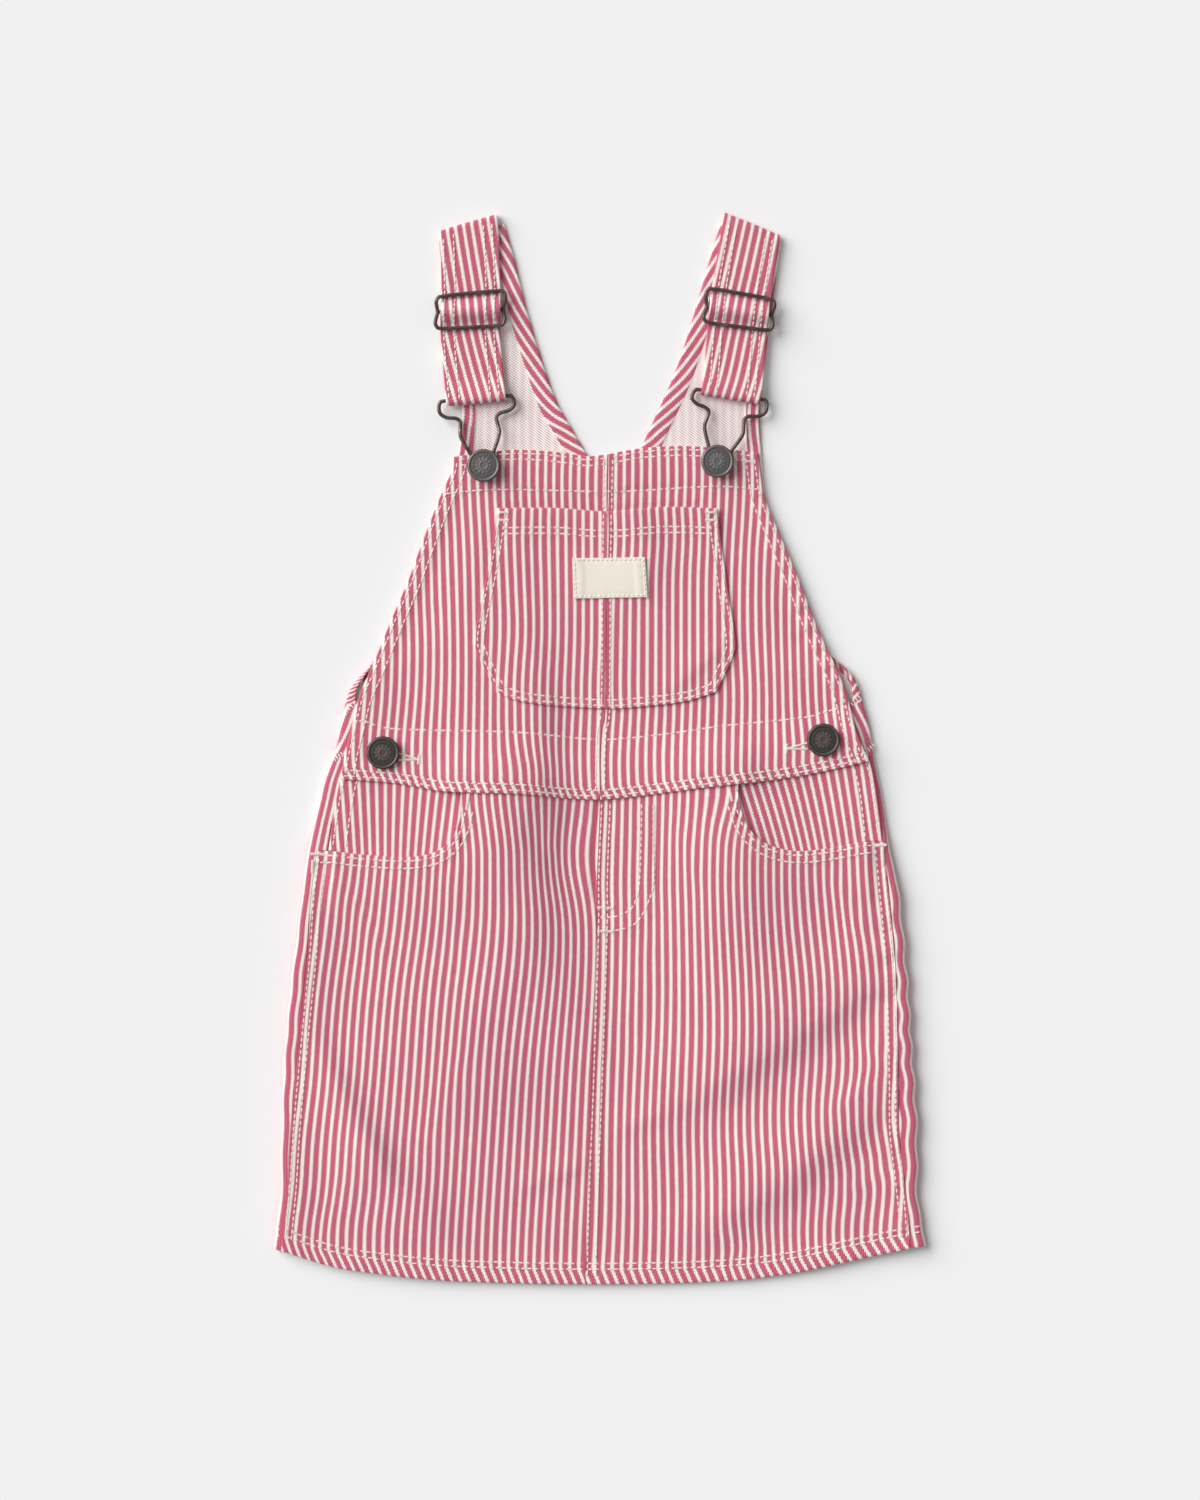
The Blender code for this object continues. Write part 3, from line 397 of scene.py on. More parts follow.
def twillWale(shade, lean, wale):
    # the diagonal rib, a sum of both coordinates folded to 0 at the groove and 1 on the crown, and two grains
    where, count, run = shade.onCloth()
    pitch = cloth["pitch"]
    rib = 1.0 - (count * (lean * pitch / wale[0]) + run * (pitch / wale[1])).saw()
    threads = shade.grain(where, (pitch / 0.5, pitch / 3.2, 1.0), 2.0, 0.6)
    fluff = shade.grain(where, (pitch / 0.7, pitch / 0.7, 1.0), 3.0, 0.65)
    return where, count, rib, threads, fluff


def twillOutside():
    # stripes are bands of the stripe count; each edge steps with the rib, as warp floats do
    shade = Shade("striped_twill")
    where, count, rib, threads, fluff = twillWale(shade, 1.0, twill["wale"])
    blotch = shade.grain(where, (0.16, 0.16, 1.0), 3.0, 0.5)
    away = (count + (rib - 0.5) * twill["serration"] + (fluff - 0.5) * 0.30 + 0.5).saw()
    white = away.ramp(twill["pinkShare"] - twill["softEdge"], twill["pinkShare"] + twill["softEdge"])
    # speck is low in the rib's grooves, which paints shade there, and it also follows the threads' own grain
    speck = (rib * 0.45 + threads * 0.35 + fluff * 0.35).ramp(0.32, 0.82)
    pinks = shade.mix(speck, twill["deepPink"], twill["pink"])
    whites = shade.mix(speck.ramp(-0.2, 0.8), twill["shadeWhite"], twill["white"])
    tone = 0.955 + blotch * 0.14
    grey = shade.node("ShaderNodeCombineXYZ", {}, {0: tone, 1: tone, 2: tone})
    colour = shade.mix(1.0, shade.mix(white, pinks, whites), grey, "MULTIPLY")
    height = rib * 0.55 + threads * 0.3 + fluff * 0.5
    extra = {"Sheen Weight": 0.12, "Sheen Roughness": 0.45, "Specular IOR Level": 0.25}
    return shade.finish(colour, 0.84 + threads * 0.12, height, twill["bump"], extra)


def twillInside():
    # the wrong side: pale weft with short slanting dashes of the dyed warp, denser behind a pink stripe
    shade = Shade("twill_wrong_side")
    _, count, rib, threads, fluff = twillWale(shade, -1.0, twill["insideWale"])
    behind = 1.0 - (count + 0.5).saw().ramp(0.25, 0.9)
    dash = (rib + (fluff - 0.5) * 0.4).ramp(0.52, 0.74)
    colour = shade.mix(dash * (0.44 + behind * 0.40), twill["insideGround"], twill["insideDash"])
    colour = shade.mix(threads.ramp(0.2, 0.8) * 0.15, colour, twill["white"])
    height = rib * 0.5 + threads * 0.3 + fluff * 0.6
    extra = {"Sheen Weight": 0.12, "Sheen Roughness": 0.5, "Specular IOR Level": 0.2}
    return shade.finish(colour, 0.9 + threads * 0.06, height, twill["bump"], extra)


thread = {"light": (0.94, 0.88, 0.79, 1.0), "dark": (0.70, 0.60, 0.50, 1.0), "twist": 900.0, "bump": 0.00006}


def threadMaterial():
    # cream cotton thread; the fine waves are its twist
    shade = Shade("cream_thread")
    where = shade.onObject()
    settings = {"wave_type": "BANDS", "bands_direction": "DIAGONAL"}
    values = {"Vector": where, "Scale": thread["twist"], "Distortion": 1.5, "Detail": 1.0}
    twist = shade.node("ShaderNodeTexWave", settings, values, 1)
    fluff = shade.grain(where, 1500.0)
    # the colour darkens in the twist's grooves, which is painted shade, and varies with the fluff's grain
    colour = shade.mix((twist * 0.5 + fluff * 0.5).ramp(0.1, 0.6), thread["dark"], thread["light"])
    extra = {"Sheen Weight": 0.1, "Specular IOR Level": 0.3}
    return shade.finish(colour, 0.62 + fluff * 0.25, twist * 0.6 + fluff * 0.4, thread["bump"], extra)


tape = {"ground": (0.885, 0.83, 0.725, 1.0), "shade": (0.74, 0.67, 0.56, 1.0), "rib": 0.55, "bump": 0.00007}


def tapeMaterial():
    # satin tape: fine ribs across; its colour darkens in the ribs' grooves, which is painted shade, and varies
    # with a grain
    shade = Shade("label_tape")
    where, _, run = shade.onCloth()
    rib = (run * (cloth["pitch"] / tape["rib"])).saw()
    fluff = shade.grain(where, (3.0, 9.0, 1.0), 3.0, 0.6)
    colour = shade.mix((rib * 0.45 + fluff * 0.55).ramp(0.15, 0.6), tape["shade"], tape["ground"])
    extra = {"Sheen Weight": 0.1, "Specular IOR Level": 0.3}
    return shade.finish(colour, 0.7 + fluff * 0.2, rib * 0.5 + fluff * 0.5, tape["bump"], extra)


metal = {
    "wireDark": (0.105, 0.074, 0.066, 1.0),
    "wireWorn": (0.31, 0.235, 0.21, 1.0),
    "wireBump": 0.00003,
    "greyDark": (0.12, 0.112, 0.114, 1.0),
    "greyWorn": (0.215, 0.203, 0.204, 1.0),
    "brownDark": (0.056, 0.051, 0.052, 1.0),
    "brownWorn": (0.15, 0.118, 0.104, 1.0),
    "buttonBump": 0.00005,
}


def wireMaterial():
    # darkened wire: the dark coat is rubbed thin in streaks and lets the brown metal through
    shade = Shade("antique_wire")
    where = shade.onObject()
    streak, speck = shade.grain(where, 260.0, 4.0, 0.6), shade.grain(where, 1400.0, 2.0, 0.6)
    rub = (streak * 0.6 + speck * 0.4).ramp(0.46, 0.78)
    colour = shade.mix(rub, metal["wireDark"], metal["wireWorn"])
    rough = 0.40 - rub * 0.10 + speck * 0.08
    return shade.finish(colour, rough, streak * 0.3 + speck * 0.3, metal["wireBump"], {"Metallic": 0.85})


def buttonMaterial(tint):
    # oxidised button: raised parts are rubbed to bare metal, hollows stay dark
    shade = Shade("oxidised_" + tint)
    where = shade.onObject()
    cloud, speck = shade.grain(where, 340.0, 4.0, 0.62), shade.grain(where, 1700.0, 2.0, 0.6)
    worn = shade.node("ShaderNodeAttribute", {"attribute_name": "worn"}, {}, 2)
    rub = (worn * 0.7 + cloud * 0.5 + speck * 0.25 - 0.35).ramp(0.0, 0.85)
    colour = shade.mix(rub, metal[tint + "Dark"], metal[tint + "Worn"])
    rough = 0.58 - rub * 0.2 + speck * 0.1
    return shade.finish(colour, rough, cloud * 0.4 + speck * 0.4, metal["buttonBump"], {"Metallic": 0.75})


clothFinishes = [twillOutside(), twillInside()]
threadFinish = threadMaterial()
tapeFinish = tapeMaterial()
wireFinish = wireMaterial()
greyButton = buttonMaterial("grey")
brownButton = buttonMaterial("brown")
print("materials made")


# ---- the outlines of the laid garment, from its pattern

garment = {
    # y, left roll, right roll, radius of the roll
    "sideRolls": [
        (24, -119, 122.8, 1.6), (5, -122.7, 127.5, 1.6), (-5, -125.4, 128.7, 1.6), (-15, -129, 130.7, 1.6),
        (-25, -131.3, 132.6, 1.6), (-36, -134, 134.2, 1.7), (-48, -137, 136.2, 2.3), (-62, -139.4, 139.5, 2.7),
        (-75, -141, 141.4, 2.8), (-100, -144.2, 143.8, 2.8), (-120, -146.4, 145.4, 2.8),
        (-140, -148.2, 146.6, 2.8), (-160, -149.2, 148, 2.8), (-180, -149.8, 149.1, 2.8),
        (-200, -150, 149, 2.7), (-215, -150.6, 149.6, 2.6), (-225, -152, 151.6, 2.6),
        (-234, -153.2, 153.2, 2.6),
    ],
    "seam": {
        "left": [
            (-132.6, -48), (-135.4, -70), (-137, -94), (-139, -115), (-141.2, -138), (-143.6, -163),
            (-145.2, -183), (-146.6, -205), (-148.2, -222), (-149.4, -235.6),
        ],
        "right": [
            (133.2, -44), (135, -62), (136.4, -76), (138.4, -100), (139.5, -128), (140, -158), (140.3, -180),
            (142.4, -198), (144.3, -215), (145.4, -234.4),
        ],
    },
    "hem": [
        (-153.2, -234.4), (-137, -240.6), (-113, -245.2), (-75, -249.6), (-7, -251.5), (58, -250),
        (95.5, -245.4), (116, -241), (131, -237), (153.2, -233.2),
    ],
    "waist": [
        (-121.5, -14.5), (-95, -16.4), (-79.5, -19.4), (-64.5, -20.6), (-37.5, -21.4), (-14, -23.6), (0, -24.2),
        (17, -22.6), (32.5, -20.6), (48, -18.6), (66, -16.6), (86, -14.2), (105.5, -10.8), (126.4, -6),
    ],
    "centre": [
        (4, 138.2), (3.5, 110), (3, 64), (2.6, 18.5), (0.6, 5), (0, -24.2), (-1.4, -60), (-1.6, -88),
        (-4, -160), (-6, -212), (-7, -251.5),
    ],
}
# ridges and troughs: from x, y to x, y, reach on the right hand and on the left hand, height
mainFolds = [
    (-142, -127, -106, -190, 17, 6.5, 3), (-106, -192, -76, -222, 14, 7, 2),
    (-114, -172, -112, -236, 34, 46, 1.4), (-62, -42, -62, -150, 56, 30, 3.8), (-31, 26, -30, -20, 30, 11, 3.2),
    (-46, -34, -22, -66, 16, 5, 0.9), (-38, -32, -35, -86, 24, 17, 2.9), (-32, -92, -16, -128, 26, 17, 2.3),
    (130, -107, 48, -158, 26, 11, 3.1), (134, -162, 58, -218, 22, 12.5, 3.1), (56, -42, 60, -128, 34, 42, 3.9),
    (64, -40, 68, -98, 24, 13, 1.3), (124, -54, 128, -92, 20, 14, 1), (112, -168, 118, -236, 40, 28, 1.3),
    (-10, -196, -34, -205, 8, 4, 0.9), (28, -171, 12, -178, 8, 4, 0.8), (-62, 100, -64, 8, 32, 14, 1.7),
    (88, 80, 92, 16, 22, 12, 1.3),
]
smallFolds = [
    (-118, -70, -104, -96, 7, 4, 0.4), (-70, -60, -66, -92, 6, 4, 0.35), (-20, -28, -22, -46, 4, 3, 0.4),
    (-34, -26, -37, -40, 3.5, 3, 0.3), (36, -30, 44, -58, 5, 4, 0.4), (22, -96, 16, -130, 8, 5, 0.35),
    (128, -156, 112, -168, 5, 4, 0.45), (133, -196, 118, -206, 5, 4, 0.45), (126, -138, 134, -146, 4, 3, 0.4),
    (100, -186, 88, -212, 7, 5, 0.3), (-64, -150, -80, -186, 9, 6, 0.4), (-120, -206, -128, -232, 6, 5, 0.35),
    (66, -222, 58, -243, 5, 6, -0.35), (110, -62, 122, -84, 6, 4, 0.4), (-70, 92, -78, 66, 6, 5, 0.3),
    (74, 96, 82, 66, 6, 5, 0.35), (24, 12, 30, -8, 6, 5, 0.25),
]
pocketFolds = [
    (16, 112, 24, 82, 16, 8, 1.3), (54, 46, 36, 31, 9, 4, 0.9), (-37, 98, -34, 44, 12, 6, 0.8),
]


def foldHeight(x, y, folds):
    # each fold is a bell across its line, with its own reach on either hand, that fades past its ends
    total = np.zeros_like(x)
    for x0, y0, x1, y1, reachRight, reachLeft, height in folds:
        dx, dy = x1 - x0, y1 - y0
        length = math.hypot(dx, dy)
        run = ((x - x0) * dx + (y - y0) * dy) / length
        off = ((x - x0) * dy - (y - y0) * dx) / length
        fade = 0.8 * (reachRight + reachLeft)
        past = np.maximum(0.0, np.abs(run - length / 2) - length / 2 + 0.4 * fade)
        total = total + height * bell(off, np.where(off > 0, reachRight, reachLeft)) * bell(past, fade)
    return total


def softWaves(x, y):
    # three long sine waves in different directions, multiplied in pairs: a tenth of a millimetre or so
    first = np.sin(x / 11.3 + y / 37.0 + 0.6)
    second = np.sin(x / 19.7 - y / 23.0 + 2.1)
    third = np.sin(x / 7.1 - y / 61.0 + 4.4)
    return 0.10 * first * second + 0.07 * third * second


def pushed(x, y):
    # where the cloth ripples its stripes are pushed aside as well, a little further than it rises
    return 1.3 * foldHeight(x, y, smallFolds) + 2.4 * softWaves(x, y)


def rollOf(what, y):
    # the left or right turn of the side, or the roll's radius, at a level
    rows = np.array(garment["sideRolls"])[::-1]
    line = smoothCurve(rows[:, [0, ("y", "left", "right", "radius").index(what)]])
    return np.interp(y, line[:, 0], line[:, 1])


def above(level, x, y):
    # height over the garment's waist or hem
    return y - yOn(garment[level], x)


def offCentre(x, y):
    return x - xOn(garment["centre"], y)


skirt = {
    "mouth": {
        "left": [
            (-132.6, -48), (-124, -48.2), (-112.5, -49.6), (-93, -50.8), (-80, -49.4), (-72, -45), (-67.6, -39),
            (-65.2, -31), (-64.2, -22), (-63.8, -14.6),
        ],
        "right": [
            (133.2, -44), (124.5, -43.6), (110, -46.2), (95.5, -48), (86, -47.2), (76.5, -43.6), (69.8, -37),
            (66, -28), (64.2, -18), (63.4, -10.6),
        ],
    },
    "mouthCorner": {"left": 123.5, "right": 124.5},
    # length and step of the grid's rows and columns, and a point well inside the right half
    "across": (140, 1.8),
    "down": (212, 1.8),
    "middle": (70, -140),
    # rows of stitches beside each edge: how far in, and the shares of the edge where they start and end
    "rows": {
        "seam": ((1.3, 4.3), 0.012, 0.985), "hem": ((7.2, 9.9), 0, 1), "mouth": ((2, 5.4), 0.02, 0.86),
        "fell": ((0.9, 4.9), 0.004, 0.99),
    },
    "rowDepth": 0.26,
    # puckers along an edge: height, wavelength, reach
    "puckers": {
        "left": [("hem", 0.15, 9.5, 9), ("mouth", 0.13, 8, 7), ("seam", 0.24, 14, 9)],
        "right": [("hem", 0.15, 9.5, 9), ("mouth", 0.13, 8, 7), ("seam", 0.5, 17, 12), ("seam", 0.2, 7.5, 6)],
    },
    "hemDeep": 10.6,
    "lipDeep": 6.2,
    "flyWide": 25.2,
    "flyFoot": -87.0,
    "fellWide": 4.8,
    # the right half stands up at the seam beside the fly, and the left half dips under it
    "flyStep": {"left": -0.85, "right": 0.25},
    "stripesAcross": 34.5,
    "hemSkew": 0.42,
    # where the stripes are pushed aside: x, y, reach in x and y, shift
    "drift": {
        "left": [
            (-8, -150, 90, 120, -1.6), (-95, -62, 70, 38, -3.4), (-30, -95, 34, 44, -2.8),
            (-45, -22, 35, 16, 2), (-14, -50, 13, 21, 4.4), (-135, -157, 26, 22, -1.2),
            (-120, -226, 30, 14, 1.2),
        ],
        "right": [
            (6, -110, 38, 130, -1.5), (96, -74, 48, 38, 3), (125, -168, 62, 27, 3), (64, -20, 14, 16, -4.5),
            (126, -230, 66, 28, 4.4), (10, -228, 42, 32, -1.2), (66, -234, 12, 9, -1.3), (122, -128, 20, 13, 1),
            (118, -152, 22, 13, -0.8), (124, -206, 22, 13, -0.8),
        ],
    },
    "flyInner": [(19.5, -25), (19.5, -35), (18.5, -63), (16, -73), (12, -77), (6, -79), (-1, -79)],
    "flyOuter": [
        (25, -25), (25, -45), (25, -63), (22.5, -72.5), (18.5, -80), (14, -83.5), (6, -85.5), (0, -85),
    ],
    # from x, y to x, y
    "tacks": {
        "left": [
            ((-135.2, -49.4), (-129.4, -49.6)), ((-134.6, -52.6), (-134.9, -58)),
            ((-61.4, -22.4), (-62.4, -28.4)),
        ],
        "right": [
            ((134, -45.2), (129, -45.3)), ((132.4, -48.6), (132.8, -54.6)), ((60.6, -18.4), (61.8, -24.4)),
            ((-1, -74.5), (6, -74.8)), ((-0.8, -85.6), (6, -85.9)), ((2.2, -72), (2.2, -78)),
        ],
    },
    "cut": (0.15, 0.245),
    "area": 0.0335,
}
facing = {
    "edge": {
        "left": [(-120.2, -8.6), (-122.6, -18), (-124.8, -30), (-127.4, -47.95)],
        "right": [(124.6, -0.4), (128.6, -14), (130.8, -28), (132.4, -43.75)],
    },
    "foot": {
        "left": [
            (-127.4, -47.95), (-124, -48.05), (-120.4, -50.2), (-114, -54), (-104, -56.6), (-90, -57.6),
            (-75, -55.6), (-64, -49),
        ],
        "right": [
            (132.4, -43.75), (128, -43.35), (124.6, -43.5), (121, -45.6), (116, -49.4), (107, -53), (95, -54.8),
            (82, -53.6), (68, -46.8),
        ],
    },
    "inner": {
        "left": [(-57.6, -15), (-58.4, -28), (-60.6, -40), (-64, -49)],
        "right": [(57.6, -11.4), (59, -26), (62, -38), (68, -46.8)],
    },
    "across": (68, 1.6),
    "down": (40, 1.6),
    "middle": (90, -30),
    "rows": {"side": ((1.8, 7.8), 0, 0.97)},
    "rowDepth": 0.2,
    "puckers": {"left": [("side", 0.2, 11, 9)], "right": [("side", 0.2, 11, 9)]},
    "stripe": 3.9,
    # of the stripes: at the side, and how much more at the mouth
    "lean": {"left": (0.08, -0.2), "right": (0.14, 0.17)},
    "cut": (0.07, 0.045),
    "area": 0.0026,
}
bib = {
    "edge": {
        "left": [
            (-69, 136.8), (-69.8, 130), (-75.5, 117), (-83, 98), (-90, 79), (-98, 60.5), (-104, 45.6),
            (-108, 36), (-112.5, 26), (-115, 17), (-117.6, 6), (-119.8, -4), (-121.5, -14.5),
        ],
        "right": [
            (74.2, 138.8), (75.4, 129), (77.6, 117), (85.5, 98), (93.5, 79), (100.6, 60.5), (107, 46),
            (111, 38), (116.2, 24), (119, 12), (122.6, 1.6), (126.4, -6),
        ],
    },
    "top": [
        (-69, 136.8), (-47, 139.8), (-30.5, 140), (-16.5, 138.6), (-5.5, 137.2), (4, 138.2), (18, 140.8),
        (36, 142), (50.5, 141.4), (74.2, 138.8),
    ],
    "across": (100, 1.5),
    "down": (155, 1.6),
    "middle": (45, 60),
    "hem": 6.5,
    "band": 17.0,
    "footHem": 7.5,
    "rows": {
        "side": ((2, 6), 0.02, 0.99), "top": ((1.8, 4.5), 0.03, 1), "foot": ((1.8, 4.5), 0.01, 1),
        "seam": ((2,), 0.02, 0.985),
    },
    "rowDepth": 0.24,
    "puckers": {
        "left": [("side", 0.26, 9, 10), ("top", 0.1, 8, 6), ("foot", 0.12, 10, 8)],
        "right": [("side", 0.36, 9, 10), ("top", 0.1, 8, 6), ("foot", 0.12, 10, 8)],
    },
    "facingRow": [(-73, 119.5), (-47, 121.5), (0, 120.5), (19, 121), (54.5, 123), (75.5, 121.5)],
    "plackRow": [
        (-114, 13), (-109.5, 12.5), (-102.5, 10), (-93, 9), (-74, 8.5), (-37.5, 7.5), (-6.5, 4.5), (9, 4.5),
        (32.5, 7), (56.5, 10.5), (66.5, 11.5), (95.5, 14.5), (105, 17), (116.5, 20),
    ],
    "stripe": 3.93,
    "shift": {"left": 1.5, "right": -1.8},
    "drift": {
        "left": [
            (-62, 128, 45, 30, 2), (-6, 120, 20, 30, 1.2), (-88, 45, 30, 28, -1.2), (-105, 2, 30, 16, 1.4),
            (-12, -4, 14, 20, 1.4), (-34, -14, 14, 14, -2.8),
        ],
        "right": [
            (60, 128, 50, 30, -1.9), (80, 62, 30, 30, 0.5), (57, 25, 30, 20, -0.9), (112, -2, 26, 16, -2.8),
            (5, -8, 25, 20, 1.7),
        ],
    },
    # its end, and the two corners towards the button
    "buttonhole": {
        "left": [(-84.8, -5.1), (-94, -2.4), (-94, -5.4)],
        "right": [(87.4, -0.1), (97, 2.6), (97, -0.2)],
    },
    "barHalf": (0.2, 2),
    "cut": (0.13, 0.165),
    "area": 0.0152,
}
pocket = {
    "edge": {
        "left": [
            (-48.4, 112.6), (-50.2, 98), (-53, 82), (-56.4, 66), (-58.8, 51), (-56.6, 42.6), (-48.4, 26.6),
        ],
        "right": [(55, 112.6), (57, 96), (60, 75), (63.4, 52), (62.4, 43.4), (54.6, 26.6)],
    },
    "top": [(-48.4, 112.6), (-21, 112.8), (3.6, 111.2), (29.5, 113.2), (55, 112.6)],
    "foot": [(-48.4, 26.6), (-39, 22.4), (-21, 20), (2.6, 18.6), (18, 19.4), (40, 22), (54.6, 26.6)],
    "across": (58, 1.2),
    "down": (92, 1.3),
    "middle": (25, 65),
    "rows": {
        "side": ((1.5, 4.2), 0.01, 1), "foot": ((1.5, 4.2), 0, 1), "top": ((9.2, 12), 0.02, 1),
        "seam": ((1.8,), 0, 1),
    },
    "rowDepth": 0.26,
    "puckers": {
        "left": [("side", 0.3, 7.5, 6), ("foot", 0.14, 8.5, 6)],
        "right": [("side", 0.2, 7.5, 6), ("foot", 0.14, 8.5, 6)],
    },
    "band": 13.2,
    "mouthLift": 0.6,
    "shift": {"left": 1.0, "right": -1.6},
    "drift": {
        "left": [(-45, 100, 25, 20, 1), (-25, 26, 60, 18, 1), (-38, 56, 12, 14, -0.6)],
        "right": [(30, 100, 40, 14, -1), (6, 45, 12, 30, 0.8), (6, 26, 16, 14, 0.5)],
    },
    "tackDrops": (2, 5.5),
    "cut": (0.064, 0.098),
    "area": 0.0051,
}

# smooth steps in the laid cloth's height: where each starts and how wide it is
steps = {
    "vent": (-48.0, 12.0),  # up the side, from the roll to the open edge
    "sideDown": (35.0, 18.0),  # up the bib's edge, down to the back
    "mouthDown": (9.0, 36.0),  # away from a pocket's mouth
    "waistHem": (-8.0, 5.0),  # up to the waist
    "waistDown": (9.0, 22.0),  # up from the waist
    "hip": (66.0, 14.0),  # out from the centre
    "pocketMouth": (0.0, 16.0),  # down from the patch pocket's top
}


def frontUnder(x, y):
    # the front lies on the back and climbs on to the rolls at its sides; folds and waves are added to that
    lapped = climb(y, *steps["vent"])
    onRoll = np.maximum(2 * rollOf("radius", y) - cloth["wall"], cloth["rest"])
    edge = lapped * cloth["ventUnder"] + (1 - lapped) * onRoll
    edge = edge + (cloth["rest"] - edge) * climb(y, *steps["sideDown"])
    ends = {}
    for side in signs:
        # the side seam up to the pocket's mouth, the facing's edge up to the waist, and the bib's edge
        seam, bibEdge = garment["seam"][side], bib["edge"][side]
        mouthLevel, waistLevel = seam[0][1], bibEdge[-1][1]
        end = np.where(y < mouthLevel, xOn(seam, y), xOn(bibEdge, np.maximum(y, waistLevel)))
        ends[side] = np.where((y < waistLevel) & (y >= mouthLevel), xOn(facing["edge"][side], y), end)
    near = fall(np.minimum(x - ends["left"], ends["right"] - x), 9.0 * lapped, 22.0)
    folds = np.maximum(foldHeight(x, y, mainFolds), -0.3)
    small = np.maximum(foldHeight(x, y, smallFolds) + softWaves(x, y), -0.12)
    return cloth["rest"] + (edge - cloth["rest"]) * near + (folds + small) * (1 - 0.8 * near)


def mouthLift(x, y):
    # the skirt lies on the facings round the pockets' mouths, and comes down away from them
    lift = np.zeros_like(x)
    for side, sign in signs.items():
        away = nearLine(smoothCurve(skirt["mouth"][side], 6), x, y)[0]
        beside = fall(sign * x, skirt["mouthCorner"][side], 6.0)
        lift = np.maximum(lift, fall(away, *steps["mouthDown"]) * beside)
    return (cloth["layer"] + cloth["hemExtra"]) * lift


def skirtUnder(x, y):
    return frontUnder(x, y) + mouthLift(x, y)


def waistWall(x, y):
    return cloth["wall"] + cloth["hemExtra"] * climb(above("waist", x, y), *steps["waistHem"])


def bibUnder(x, y):
    # up by the skirt's waist where it laps that, and down again above it
    over = above("waist", x, y)
    beside = 1 - 0.85 * climb(np.abs(x), *steps["hip"])
    lift = cloth["layer"] + cloth["hemExtra"] + cloth["waistSpare"] + mouthLift(x, y) * beside
    return frontUnder(x, y) + lift * fall(over, *steps["waistDown"]) - 0.3 * fall(over, 0.0, 4.0)


def bibWall(x, y):
    side = np.minimum(x - xOn(bib["edge"]["left"], y), xOn(bib["edge"]["right"], y) - x)
    extra = np.maximum(fall(side, bib["hem"], 2.5), fall(yOn(bib["top"], x) - y, bib["band"], 2.5))
    extra = np.maximum(extra, 0.6 * fall(above("waist", x, y), bib["footHem"], 2.5))
    return cloth["wall"] + cloth["hemExtra"] * extra


def onBib(x, y):
    return bibUnder(x, y) + bibWall(x, y)


def pocketUnder(x, y):
    mouth = pocket["mouthLift"] * fall(yOn(pocket["top"], x) - y, *steps["pocketMouth"])
    return onBib(x, y) + cloth["gap"] + mouth + np.maximum(foldHeight(x, y, pocketFolds), 0.0)


def pocketWall(x, y):
    return cloth["wall"] + cloth["hemExtra"] * fall(yOn(pocket["top"], x) - y, pocket["band"], 1.2)


# ---- cloth panels


sewing = {
    "length": 2.45, "pitch": 3.0, "width": 0.35, "lift": 0.28, "sunk": 0.10, "loose": 0.12,
    "single": 3.0,  # a row shorter than this is one stitch
    "trough": 0.75, "drawn": 0.07, "drawnWide": 2.3,
}
rowsSewn = {}


def sewnEdges(piece, side, lines):
    # rows of stitches inside a piece's edges, and the puckers along them
    middle, rows = (signs[side] * piece["middle"][0], piece["middle"][1]), []
    for name, (insets, start, end) in piece["rows"].items():
        if name in lines:
            rows += rowsInside(lines[name], insets, middle, start, end)
    return rows, [(smoothCurve(lines[name]), *wave) for name, *wave in piece["puckers"][side]]


def sewnRelief(x, y, rows, depth, puckers):
    # each row of stitches is in a narrow trough, with small swells beside it where the thread draws the cloth
    # up; a pucker is (edge, height, wavelength, reach), a sine along the edge that fades off it
    total = np.zeros_like(x)
    for line in rows:
        away, run = nearLine(line, x, y)
        drawn = np.sin(run / 1.15 + 1.7 * np.sin(run / 6.1)) * bell(away, sewing["drawnWide"])
        total = total - depth * bell(away, sewing["trough"]) + sewing["drawn"] * drawn
    for line, height, length, reach in puckers:
        away, run = nearLine(line, x, y)
        uneven = 0.6 + 0.4 * np.sin(run / 17.0 + length)
        wave = np.sin(2 * math.pi * (run / length + 0.35 * np.sin(run / (2.7 * length))))
        total = total + height * uneven * wave * bell(away, reach)
    return total


def layPanel(name, node, plan, seams, under, wall, relief, stripes, slot="striped_twill"):
    # underside from what it lies on, top a wall above it, both drawn in to one line round the cut edge
    x, y = plan[..., 0], plan[..., 1]
    half = wall(x, y) / 2
    near = edgeDistance(plan, seams)
    bulge, middle = roundedRim(near, half), under(x, y) + half
    top = np.dstack([x, y, middle + bulge + relief(x, y) * climb(near, 0.0, cloth["rounding"])])
    low = np.dstack([x, y, middle - bulge])
    finishes = clothFinishes if slot == "striped_twill" else [tapeFinish]
    made = clothMesh(name, top, low, stripes(x, y), finishes)
    place(made, slot, node)
    return lambda x, y: under(x, y) + wall(x, y) + relief(x, y)


def sew(group, surface, lines, pitch=sewing["pitch"], length=sewing["length"]):
    # keeps rows of stitches for a group of topstitching, each with the surface that it is sewn on
    kept = rowsSewn.setdefault(group, [])
    kept.extend((np.asarray(line, float), surface, pitch, length) for line in lines)


def sewTack(group, surface, start, end, width=1.5, turns=9):
    # a zigzag of close stitches between two points, each a row of its own
    start, end = np.asarray(start, float), np.asarray(end, float)
    along = np.linspace(0, 1, turns)[:, None] * (end - start) + start
    side = unit(np.array([start[1] - end[1], end[0] - start[0]])) * width / 2
    sew(group, surface, [np.array([spot - side, spot + side]) for spot in along], 9.0, width)


def alongLevel(level, start, end, count, lift=0.0):
    # points from one corner to another along the garment's waist or hem
    between = np.linspace(start[0], end[0], count)[1:-1]
    return [start] + [(x, yOn(garment[level], x) + lift) for x in between] + [end]


